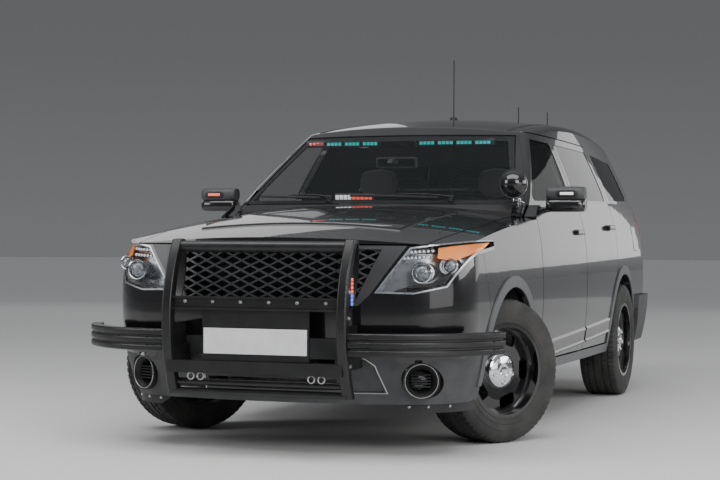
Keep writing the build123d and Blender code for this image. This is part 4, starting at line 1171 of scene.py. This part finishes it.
shield_hits = [(x, z) for x in np.linspace(-0.7, 0.7, 15) for z in np.linspace(1.24, 1.6, 9)
               if glass_depth(x, z) is not None]
shield_depth = fit_surface(shield_terms, shield_hits, [glass_depth(x, z) for x, z in shield_hits])
border = bmesh.new()
join_rings(border, [[border.verts.new((x, shield_depth(x, z) + BORDER_BACK, z)) for x, z in divided(corners)]
                    for corners in (SHIELD_OUTER, SHIELD_INNER)])
piece("windshield_border", border, black_trim, "root", 60)
print("rays that met the windshield:", len(shield_hits))

# %% [markdown]
# Two warning bars hang under the windshield's header. Each has groups of four small lenses in a black case.
# The left one is blue-green throughout, and the right one has a red group at its outer end.
# A small case on the dashboard has white and red lenses.

# %% Warning bars behind the windshield
VISOR_LENS, DASH_LENS = (0.019, 0.006, 0.019), (0.020, 0.006, 0.026)
GROUPS, GROUP_SIZE, GROUP_STEP, VISOR_STEP, DASH_STEP = 4, 4, 0.113, 0.0235, 0.0245


def visor_bar(side):
    case = bmesh.new()
    centre = 0.300 if side == "left" else -0.390
    block(case, (centre - 0.235, -0.295, 1.566), (centre + 0.235, -0.262, 1.606), 0.006)
    piece(f"visor_bar_case_{side}", case, cabin_plastic, "root")
    places = [(centre - 0.205 + group * GROUP_STEP + i * VISOR_STEP, -0.297, 1.584)
              for group in range(GROUPS) for i in range(GROUP_SIZE)]
    if side == "left":
        lamp_row("visor_lamps_left", places, VISOR_LENS, cyan_light)
    else:
        lamp_row("visor_lamps_right_red", places[:GROUP_SIZE], VISOR_LENS, dim_red_light)
        lamp_row("visor_lamps_right", places[GROUP_SIZE:], VISOR_LENS, cyan_light)


for side in SIDES:
    visor_bar(side)
dash_case = bmesh.new()
block(dash_case, (-0.262, -0.782, 1.232), (-0.034, -0.742, 1.280), 0.005)
block(dash_case, (-0.170, -0.775, 1.100), (-0.126, -0.750, 1.234), 0.003)
block(dash_case, (-0.220, -0.800, 1.100), (-0.076, -0.730, 1.116), 0.003)
piece("dash_lamp_case", dash_case, cabin_plastic, "root")
lamp_row("dash_lamps_white", [(-0.246 + i * DASH_STEP, -0.784, 1.256) for i in range(4)], DASH_LENS,
         white_light)
lamp_row("dash_lamps_red", [(-0.146 + i * DASH_STEP, -0.784, 1.256) for i in range(5)], DASH_LENS, red_light)
print("lenses in a visor bar:", GROUPS * GROUP_SIZE)

# %% [markdown]
# The frame's inside mirror is a plain block on a stalk, so it gets a rounded housing.
# The steering wheel is a padded ring with three spokes, a hub and a column.

# %% Cabin details
mirror_mesh = bmesh.new()
lofted(mirror_mesh, [[Vector((u * s, y, 1.463 + v * s)) for u, v in rounded_outline(0.250, 0.066, 0.026)]
                     for y, s in ((-0.470, 0.90), (-0.462, 1.0), (-0.446, 1.0), (-0.442, 0.95))])
piece("inside_mirror", mirror_mesh, cabin_plastic, "root", 40)

WHEEL_CENTRE, COLUMN_TILT = Vector((0.390, -0.330, 1.010)), math.radians(-66)
wheel_turn = Matrix.Translation(WHEEL_CENTRE) @ Matrix.Rotation(COLUMN_TILT, 4, "X")
RIM_RADIUS, RIM_STEPS = 0.180, 48
ring_mesh = bmesh.new()
circle = []
for i in range(RIM_STEPS):
    angle = math.tau * i / RIM_STEPS
    out = Vector((math.cos(angle), math.sin(angle), 0))
    circle.append([ring_mesh.verts.new(wheel_turn @ (out * (RIM_RADIUS + u) + Vector((0, 0, v))))
                   for u, v in round_section(0.0155)])
join_rings(ring_mesh, circle + circle[:1])
lofted(ring_mesh, [[wheel_turn @ Vector((u, v - 0.005, z))
                    for u, v in rounded_outline(0.150 * s, 0.120 * s, 0.04 * s)]
                   for z, s in ((-0.030, 0.8), (-0.010, 1.0), (0.012, 0.96), (0.020, 0.8))])
for angle in (0, 180, 270):
    turn = wheel_turn @ Matrix.Rotation(math.radians(angle), 4, "Z")
    block(ring_mesh, (0.055, -0.020, -0.010), (0.172, 0.020, 0.006), 0.005, place=turn)
block(ring_mesh, (-0.028, -0.028, -0.150), (0.028, 0.028, -0.020), 0.012, place=wheel_turn)
steering = piece("steering_ring", ring_mesh, cabin_plastic, "root", 40)
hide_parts("steering_wheel")
print("steering wheel centre:", tuple(WHEEL_CENTRE))

# %% [markdown]
# Seats are padded. Each cushion starts as a rounded block that is fuller at its middle than at its corners,
# with sewn channels pressed into it, and a subdivision surface rounds it off.
# The shape is written as a height over a grid, so that the crown and the channels follow a simple rule.

# %% Seats
CHANNEL_WIDTH, CHANNEL_DEPTH, BOLSTER_START = 0.055, 0.10, 0.62      # as shares of half the pad


def padded_block(mesh, low, high, crown, axis, channels=(), bolster=0.0, corner=0.0):
    """A crowned pad: a fine grid box that swells along one axis and has its corners drawn in or rounded."""
    low, high = Vector(low), Vector(high)
    size, middle = high - low, (high + low) / 2
    shape = bmesh.new()
    bmesh.ops.create_cube(shape, size=2)
    bmesh.ops.subdivide_edges(shape, edges=shape.edges[:], cuts=11, use_grid_fill=True)
    others = [i for i in range(3) if i != axis]
    for vertex in shape.verts:
        unit = vertex.co.copy()
        u, v = unit[others[0]], unit[others[1]]
        full = max(0.0, (1 - u ** 4)) ** 0.5 * max(0.0, (1 - v ** 4)) ** 0.5
        point = unit.copy()
        point[axis] *= 1 - crown * (1 - full)
        pull = 1 - 0.10 * (1 - full) * abs(unit[axis])
        point[others[0]] *= pull * (1 - corner * v * v) ** 0.5
        point[others[1]] *= pull * (1 - corner * u * u) ** 0.5
        if unit[axis] > 0:
            for where, along in channels:
                away = (unit[others[along]] - where) / CHANNEL_WIDTH
                point[axis] -= CHANNEL_DEPTH * math.exp(-away * away) * full
            point[axis] += bolster * max(0.0, abs(u) - BOLSTER_START) * 0.8
        vertex.co = Vector(middle[i] + point[i] * size[i] / 2 for i in range(3))
    add_copies(mesh, shape)


def padded_piece(name, mesh):
    """A piece of seat cloth that is filled with padding."""
    made = piece(name, mesh, seat_cloth, "root", 180)
    smooth = made.modifiers.new("soft", "SUBSURF")
    smooth.levels = smooth.render_levels = 1
    return made


def front_seat(side):
    """A cushion, a back, a headrest and the frame that carries them."""
    x = SIGN[side] * 0.385
    cushion = bmesh.new()
    padded_block(cushion, (x - 0.255, -0.195, 0.560), (x + 0.255, 0.325, 0.690), 0.30, 2,
                 ((-0.55, 0), (0.55, 0), (0.1, 1)), 0.10)
    made = [padded_piece(f"seat_cushion_{side}", cushion)]
    back = bmesh.new()
    padded_block(back, (x - 0.255, 0.255, 0.640), (x + 0.255, 0.378, 1.265), 0.35, 1,
                 ((-0.55, 0), (0.55, 0), (0.25, 1)))
    made.append(padded_piece(f"seat_back_{side}", back))
    head = bmesh.new()
    padded_block(head, (x - 0.125, 0.300, 1.278), (x + 0.125, 0.388, 1.458), 0.40, 1, corner=0.36)
    made.append(padded_piece(f"seat_head_{side}", head))
    frame_mesh = bmesh.new()
    block(frame_mesh, (x - 0.20, -0.14, 0.372), (x + 0.20, 0.26, 0.575), 0.02)
    for post in (-0.06, 0.06):
        rod(frame_mesh, (x + post, 0.342, 1.22), (x + post, 0.342, 1.31), 0.006)
    made.append(piece(f"seat_frame_{side}", frame_mesh, cabin_plastic, "root"))
    return made


for made in (*front_seat("left"), *front_seat("right")):
    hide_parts("front_seats")
print("pieces of a front seat: 4")

# %% [markdown]
# The rear bench is one long cushion and one long back, with two sewn channels in each, and three headrests.

# %% Rear bench
bench = bmesh.new()
padded_block(bench, (-0.615, 0.545, 0.580), (0.615, 1.000, 0.720), 0.28, 2, ((-0.33, 0), (0.33, 0)))
bench_pieces = [padded_piece("bench_cushion", bench)]
bench_back = bmesh.new()
padded_block(bench_back, (-0.615, 0.935, 0.680), (0.615, 1.055, 1.295), 0.30, 1, ((-0.33, 0), (0.33, 0)))
bench_pieces.append(padded_piece("bench_back", bench_back))
for i, x in enumerate((-0.38, 0.0, 0.38)):
    head = bmesh.new()
    padded_block(head, (x - 0.115, 0.965, 1.290), (x + 0.115, 1.043, 1.425), 0.40, 1, corner=0.36)
    bench_pieces.append(padded_piece(f"bench_head_{i}", head))
bench_base = bmesh.new()
block(bench_base, (-0.555, 0.605, 0.372), (0.555, 0.895, 0.600), 0.02)
bench_pieces.append(piece("bench_base", bench_base, cabin_plastic, "root"))
for made in bench_pieces:
    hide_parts("rear_bench")
print("pieces of the bench:", len(bench_pieces))

# %% [markdown]
# A moulding runs along the foot of each door. It is a shallow strip with two ridges that catch the light.
# It must ride on its door, so each door gets its own length of it,
# laid on the door's skin by rays from the side.

# %% Door mouldings
door_trees = {name: panel_tree(name) for name in both("door_front", "door_rear", "body_side")}


def beside(tree, side, y, z, proud=0.0):
    """The point that a level ray from outside meets on a side panel, moved outwards."""
    sign = SIGN[side]
    hit = tree.ray_cast(Vector((sign * 1.3, y, z)), Vector((-sign, 0, 0)))[0]
    return Vector((hit.x + sign * proud, y, z)) if hit else None


def strip_along(name, tree, side, path, profile, finish, body):
    """A strip along (y, z) places on a side panel; its profile is (up, proud) pairs."""
    rows = []
    for y, z in path:
        row = [beside(tree, side, y, z + rise, proud) for rise, proud in profile]
        if all(row):
            rows.append(row)
    mesh = bmesh.new()
    if len(rows) > 1:
        lofted(mesh, rows)
    return piece(name, mesh, finish, body, 30)


MOULDING = ((-0.064, -0.002), (-0.062, 0.011), (-0.057, 0.015), (-0.046, 0.007), (0.004, 0.007),
            (0.016, 0.012), (0.028, 0.004), (0.030, -0.002))
MOULDING_HEIGHT, MOULDING_SLOPE = 0.440, 0.034
for side in SIDES:
    for name, start, end in (("front", -0.835, 0.190), ("rear", 0.228, 0.985)):
        along = [start + (end - start) * i / 16 for i in range(17)]
        path = [(y, MOULDING_HEIGHT + (y + 0.83) * MOULDING_SLOPE) for y in along]
        strip_along(f"door_moulding_{name}_{side}", door_trees[f"door_{name}_{side}"], side, path, MOULDING,
                    gloss_trim, f"{name}_door_{side}")
print("lines in a moulding's profile:", len(MOULDING))

# %% [markdown]
# Each tail lamp gets glowing bars that turn the corner and a clear lamp for reversing,
# and the bumper has a reflector below it. All of them are strips laid on the skin by rays:
# the corner is searched from directions that turn with it, and the flat back from straight behind.

# %% Tail lamps and reflectors
back_panels = panel_tree("tailgate", "tailgate_glass", "rear_bumper", "tail_lamps", "body_side_left",
                         "body_side_right")
TAIL_CORNER = (0.70, 2.25)


def from_behind(x, z, lift=0.0, tree=back_panels):
    """The point on the back of the car that a level ray from behind meets."""
    hit = tree.ray_cast(Vector((x, 2.75, z)), Vector((0, -1, 0)))[0]
    return Vector((x, hit.y + lift, z)) if hit else None


def round_corner(side, angle, z, lift):
    """A point on the rear corner, seen from a direction between straight out (0) and straight back (90)."""
    out = Vector((SIGN[side] * math.cos(math.radians(angle)), math.sin(math.radians(angle)), 0))
    start = Vector((SIGN[side] * TAIL_CORNER[0], TAIL_CORNER[1], z)) + out
    hit = back_panels.ray_cast(start, -out)[0]
    return hit + out * lift if hit else None


BAND_STEPS = 24      # a strip has one row of points more than this


def skin_band(name, places, profile, finish, body):
    """A strip laid on a surface; places(share, rise, proud) gives a point, or None where nothing is hit."""
    rows = []
    for i in range(BAND_STEPS + 1):
        row = [places(i / BAND_STEPS, rise, proud) for rise, proud in profile]
        if all(row):
            rows.append(row)
    mesh = bmesh.new()
    if len(rows) > 1:
        lofted(mesh, rows)
    return piece(name, mesh, finish, body, 30)


def behind_band(name, start, end, height, profile, finish, body):
    """A level strip on the back of the car between two places across it."""
    def places(share, rise, proud):
        return from_behind(start + (end - start) * share, height + rise, proud)

    skin_band(name, places, profile, finish, body)


def corner_band(name, side, first, last, height, profile, finish):
    """A level strip round the rear corner between two directions."""
    def places(share, rise, proud):
        return round_corner(side, first + (last - first) * share, height + rise, proud)

    skin_band(name, places, profile, finish, "root")


LAMP_BAR = ((-0.011, -0.002), (-0.009, 0.003), (0.009, 0.003), (0.011, -0.002))      # up, proud
REVERSING = ((-0.014, -0.002), (-0.012, 0.004), (0.012, 0.004), (0.014, -0.002))
REFLECTOR = ((-0.016, -0.002), (-0.013, 0.005), (0.013, 0.005), (0.016, -0.002))
BAR_HEIGHTS = (1.045, 1.100, 1.155)
for side in SIDES:
    sign = SIGN[side]
    for i, height in enumerate(BAR_HEIGHTS):
        corner_band(f"tail_lamp_bar_{i}_{side}", side, 20, 86, height, LAMP_BAR, dim_red_light)
    corner_band(f"reversing_lamp_{side}", side, 58, 86, 1.128, REVERSING, white_light)
    behind_band(f"rear_reflector_{side}", sign * 0.56, sign * 0.78, 0.40, REFLECTOR, tail_lens, "root")
print("bars in a tail lamp:", len(BAR_HEIGHTS))

# %% [markdown]
# The tailgate gets a moulding with a grip below it and a high stop lamp, and the bumper a ribbed tread pad.
# Four round sensors sit in the bumper, and the wiper's arm and blade follow the skin by rays as well.

# %% Tailgate fittings and sensors
behind_band("tailgate_moulding", -0.66, 0.66, 1.045,
            ((-0.035, -0.002), (-0.030, 0.012), (0.024, 0.016), (0.034, 0.010), (0.036, -0.002)),
            gloss_trim, "tailgate")
behind_band("tailgate_grip", -0.17, 0.17, 0.990,
            ((-0.014, -0.002), (-0.010, 0.007), (0.012, 0.009), (0.016, -0.002)), black_trim, "tailgate")
behind_band("high_stop_lamp", -0.24, 0.24, 1.606,
            ((-0.011, -0.002), (-0.009, 0.006), (0.009, 0.006), (0.011, -0.002)), dim_red_light, "tailgate")
behind_band("bumper_tread", -0.62, 0.62, 0.565,
            ((-0.034, -0.002), (-0.030, 0.006), (-0.012, 0.006), (-0.010, 0.003), (-0.006, 0.003),
             (-0.004, 0.006), (0.014, 0.006), (0.016, 0.003), (0.020, 0.003), (0.022, 0.006), (0.034, 0.005),
             (0.038, -0.002)), black_trim, "root")
SENSOR_PLACES = (-0.66, -0.26, 0.26, 0.66)
sensors = bmesh.new()
for x in SENSOR_PLACES:
    at = Matrix.Translation(from_behind(x, 0.475)) @ FACING_BACK
    turned(sensors, [(-0.004, 0.014), (0.002, 0.014), (0.0035, 0.011), (0.0035, 0.0)], 24, at)
piece("parking_sensors", sensors, gloss_trim, "root", 40)

back_glass = panel_tree("tailgate_glass")
BACKWARDS = Vector((0, 1, 0))
wiper_mesh = bmesh.new()
turned(wiper_mesh, [(-0.016, 0.020), (0.010, 0.020), (0.018, 0.013), (0.019, 0.0)], 28,
       Matrix.Translation(from_behind(0.0, 1.262, 0.010)) @ FACING_BACK)
arm_places = [from_behind(0.01 + 0.19 * share, 1.268 + 0.055 * share, 0.020) for share in (0, 0.3, 0.6, 1)]
swept(wiper_mesh, arm_places, [(-0.009, -0.005), (0.009, -0.005), (0.007, 0.005), (-0.007, 0.005)],
      up=BACKWARDS, taper=(1.0, 0.9, 0.75, 0.6))
blade_places = [from_behind(0.04 + 0.34 * share, 1.318 + 0.018 * share, 0.012, back_glass)
                for share in (0, 0.25, 0.5, 0.75, 1)]
swept(wiper_mesh, [p for p in blade_places if p],
      [(-0.006, -0.008), (0.006, -0.008), (0.003, 0.008), (-0.003, 0.008)], up=BACKWARDS)
piece("rear_wiper", wiper_mesh, black_trim, "tailgate", 40)
print("sensors:", len(SENSOR_PLACES))

# %% [markdown]
# Two black mouldings cover the roof's seams, every aerial stands in a rubber boot,
# and a square flap on the left rear quarter covers the filler.
# The flap is a thin plate with a dark gap round it.

# %% Roof seams, aerial boots and filler flap
roof_tree = panel_tree("roof_panel")


def on_roof(x, y, lift=0.0):
    """The point on the roof below a place, moved up by the lift."""
    hit = roof_tree.ray_cast(Vector((x, y, 2.0)), Vector((0, 0, -1)))[0]
    return Vector((x, y, hit.z + lift)) if hit else None


SEAM = ((-0.010, -0.002), (-0.008, 0.003), (0.008, 0.003), (0.010, -0.002))
for side in SIDES:
    x = SIGN[side] * 0.585
    skin_band(f"roof_seam_{side}",
              lambda share, rise, proud: on_roof(x + rise, -0.36 + 2.48 * share, proud),
              SEAM, black_trim, "root")
AERIALS = ((-0.060, 0.900), (0.220, 1.500), (0.420, 1.500))
boots = bmesh.new()
for x, y in AERIALS:
    base = on_roof(x, y) or Vector((x, y, 1.75))
    at = Matrix.Translation(base) @ FACING_UP
    turned(boots, [(-0.004, 0.034), (0.003, 0.033), (0.008, 0.028), (0.014, 0.0235), (0.027, 0.0225)], 32, at)
piece("aerial_boots", boots, black_trim, "root", 45)

FLAP_Y, FLAP_Z = 1.985, 1.03
flap_outline = rounded_outline(0.17, 0.17, 0.03)
side_wall = door_trees["body_side_left"]


def flap_ring(scale, proud):
    """The flap's outline on the skin, moved outwards."""
    return [beside(side_wall, "left", FLAP_Y + u * scale, FLAP_Z + v * scale, proud) for u, v in flap_outline]


for name, scale, proud, finish in (("filler_gap", 1.0, 0.0008, cabin_plastic),
                                   ("filler_flap", 0.955, 0.0022, paint)):
    flap = bmesh.new()
    outer, inner = flap_ring(scale, proud), flap_ring(scale, -0.002)
    if all(outer) and all(inner):
        lofted(flap, [inner, outer])
    piece(name, flap, finish, "root", 20)
print("aerial boots:", len(AERIALS))

# %% [markdown]
# Each exhaust pipe ends in a bright rolled tip, a little wider than the pipe.

# %% Exhaust tips
TIP_PROFILE = ((0.0, 0.031), (0.0, 0.034), (0.015, 0.037), (0.066, 0.038), (0.070, 0.036), (0.067, 0.033),
               (0.030, 0.032))      # along, radius
for side in SIDES:
    tip = bmesh.new()
    at = Matrix.Translation((SIGN[side] * 0.480, 2.440, 0.285)) @ FACING_BACK
    turned(tip, TIP_PROFILE, 40, at, closed=True)
    piece(f"exhaust_tip_{side}", tip, chrome, "root", 40)
print("widest radius of a tip:", max(radius for _, radius in TIP_PROFILE))

# %% [markdown]
# The screen behind the front seats has a bright rail across its window.

# %% Screen rail
BRACKET_PLACES = [-0.470 + i * 0.310 for i in range(4)]
rail_mesh = bmesh.new()
rod(rail_mesh, (-0.556, 0.462, 1.331), (0.556, 0.462, 1.331), 0.009)
for x in BRACKET_PLACES:
    block(rail_mesh, (x, 0.462, 1.322), (x + 0.020, 0.474, 1.340), 0.003)
piece("screen_rail", rail_mesh, lamp_silver, "root", 40)
print("screen rail brackets:", len(BRACKET_PLACES))

# %% [markdown]
# Under the hood the engine wears a ribbed cover, with curved intake pipes in front of it.
# An air box with a ribbed hose, a battery, a fuse box, a coolant bottle and a brake booster stand round it,
# and all of them stay clear of the closed hood.

# %% Engine bay
RIB_COUNT, RIB_STEP, PIPE_COUNT, PIPE_STEP = 8, 0.046, 5, 0.10
cover = bmesh.new()
lofted(cover, [[Vector((u, v - 1.49, z)) for u, v in rounded_outline(0.50 * s, 0.50 * s, 0.06)]
               for z, s in ((0.928, 1.0), (0.975, 1.0), (0.990, 0.97), (0.995, 0.92))])
rib = bmesh.new()
block(rib, (-0.19, -1.675, 0.990), (0.19, -1.661, 1.004), 0.004)
add_copies(cover, repeated(rib, ROW, cabin_plastic, Count=RIB_COUNT, Step=(0, RIB_STEP, 0)))
rod(cover, (0.17, -1.285, 0.99), (0.17, -1.285, 1.03), 0.027, 24)
piece("engine_cover", cover, cabin_plastic, "root", 40)

pipe = bmesh.new()
bend = [(-0.20, -1.77 - 0.07 * math.sin(a), 0.86 + 0.08 * math.cos(a)) for a in np.linspace(0, 1.57, 9)]
swept(pipe, [(-0.20, -1.70, 0.94)] + bend + [(-0.20, -1.84, 0.74)], round_section(0.024),
      up=Vector((1, 0, 0)))
pipes = repeated(pipe, ROW, cast_metal, Count=PIPE_COUNT, Step=(PIPE_STEP, 0, 0))
piece("intake_pipes", pipes, cast_metal, "root", 40)

BAY_BLOCKS = (
    ((0.34, -2.06, 0.66), (0.60, -1.87, 0.90), 0.02),              # air box
    ((0.335, -2.065, 0.905), (0.605, -1.865, 0.965), 0.02),        # its lid
    ((-0.61, -1.35, 0.80), (-0.37, -1.15, 0.975), 0.008),          # battery
    ((-0.60, -1.72, 0.80), (-0.40, -1.46, 0.935), 0.02),           # fuse box
    ((-0.62, -2.235, 0.962), (0.62, -2.130, 0.984), 0.006),        # panel over the radiator
)
BOOSTER = ((0, 0), (0, 0.10), (0.03, 0.115), (0.07, 0.115), (0.09, 0.08), (0.12, 0.05), (0.24, 0.045),
           (0.24, 0))
HOSE_POINTS = 45
bay = bmesh.new()
for low, high, edge in BAY_BLOCKS:
    block(bay, low, high, edge)
turned(bay, BOOSTER, 40, Matrix.Translation((0.40, -0.955, 0.93)) @ FACING_FRONT)
first, middle, last = Vector((0.47, -1.88, 0.88)), Vector((0.52, -1.58, 0.98)), Vector((0.235, -1.56, 0.962))
way = [first.lerp(middle, t).lerp(middle.lerp(last, t), t) for t in np.linspace(0, 1, HOSE_POINTS)]
swept(bay, way, round_section(0.036), taper=[1.0 - 0.12 * (i % 2) for i in range(HOSE_POINTS)])
swept(bay, [(-0.26, -2.16, 0.90), (-0.26, -2.08, 0.90), (-0.24, -1.98, 0.88), (-0.18, -1.90, 0.84),
            (-0.18, -1.80, 0.82)], round_section(0.021))
piece("bay_parts", bay, black_trim, "root", 40)

bottle = bmesh.new()
block(bottle, (0.43, -1.32, 0.80), (0.62, -1.12, 0.98), 0.035, 4)
for x in (-0.56, -0.42):
    rod(bottle, (x, -1.19, 0.97), (x, -1.19, 0.995), 0.010, 16)
piece("coolant_bottle", bottle, plate_face, "root", 40)
print("plain blocks round the engine:", len(BAY_BLOCKS))

# %% [markdown]
# The studio is a wide pale floor under soft lamps, and the sky round it is a plain grey fade.
# Black paint shows its form only by what it mirrors, so the lamps are big and close,
# and three dimmer ones stand where the flanks and the hood mirror them towards the camera.

# %% Studio
floor_finish = start_finish("floor_finish", (0.62, 0.62, 0.61), 0.75)
FLOOR_RADIUS = 70
floor_mesh = bmesh.new()
bmesh.ops.create_circle(floor_mesh, cap_ends=True, segments=96, radius=FLOOR_RADIUS)
floor_data = bpy.data.meshes.new("studio_floor")
floor_mesh.to_mesh(floor_data)
floor_mesh.free()
floor = add_object("studio_floor", floor_data)
wear(floor, floor_finish)

SOFT_LAMPS = (
    # name, place, aim, width, depth, watts
    ("overhead", (0.0, -3.4, 6.0), (0.0, -1.4, 0.0), 9.0, 3.6, 420),
    ("front_left", (6.5, -8.0, 4.2), (0.0, -0.6, 0.7), 4.5, 3.5, 330),
    ("left_side", (8.5, 2.5, 3.0), (0.5, 0.5, 0.8), 7.0, 2.6, 260),
    ("front_right", (-7.5, -6.0, 3.8), (0.0, -0.5, 0.7), 4.5, 3.5, 230),
    ("rear_left", (6.4, 13.0, 3.1), (0.8, 0.5, 1.1), 9.5, 4.2, 135),
    ("low_left", (8.2, -5.6, 1.7), (0.9, -2.0, 0.8), 6.5, 2.6, 95),
    ("rear_right", (-9.0, 13.0, 5.2), (0.0, 1.0, 0.9), 9.0, 4.0, 80),
)
for name, place, aim, width, depth, watts in SOFT_LAMPS:
    lamp_data = bpy.data.lights.new(name, "AREA")
    lamp_data.shape = "RECTANGLE"
    lamp_data.size, lamp_data.size_y, lamp_data.energy = width, depth, watts
    lamp = add_object(name, lamp_data)
    lamp.location = place
    lamp.rotation_euler = (Vector(aim) - Vector(place)).to_track_quat("-Z", "Y").to_euler()

SKY_SHADES = ((0.0, 0.17), (0.10, 0.13), (0.30, 0.11), (1.0, 0.55))   # height of the direction, brightness
world = bpy.data.worlds.new("studio_world")
bpy.context.scene.world = world
world.use_nodes = True
sky = world.node_tree.nodes
direction = sky.new("ShaderNodeTexCoord")
height = sky.new("ShaderNodeSeparateXYZ")
fade = sky.new("ShaderNodeValToRGB")
while len(fade.color_ramp.elements) < len(SKY_SHADES):
    fade.color_ramp.elements.new(0.5)
for element, (position, _) in zip(fade.color_ramp.elements, SKY_SHADES):
    element.position = position
# Moving an element can change their order, so the colours are set after all the places.
for element, (_, shade) in zip(fade.color_ramp.elements, SKY_SHADES):
    element.color = (shade * 0.98, shade, shade * 1.04, 1)
world.node_tree.links.new(direction.outputs["Generated"], height.inputs["Vector"])
world.node_tree.links.new(height.outputs["Z"], fade.inputs["Fac"])
world.node_tree.links.new(fade.outputs["Color"], sky["Background"].inputs["Color"])
print("lamps:", len(SOFT_LAMPS))
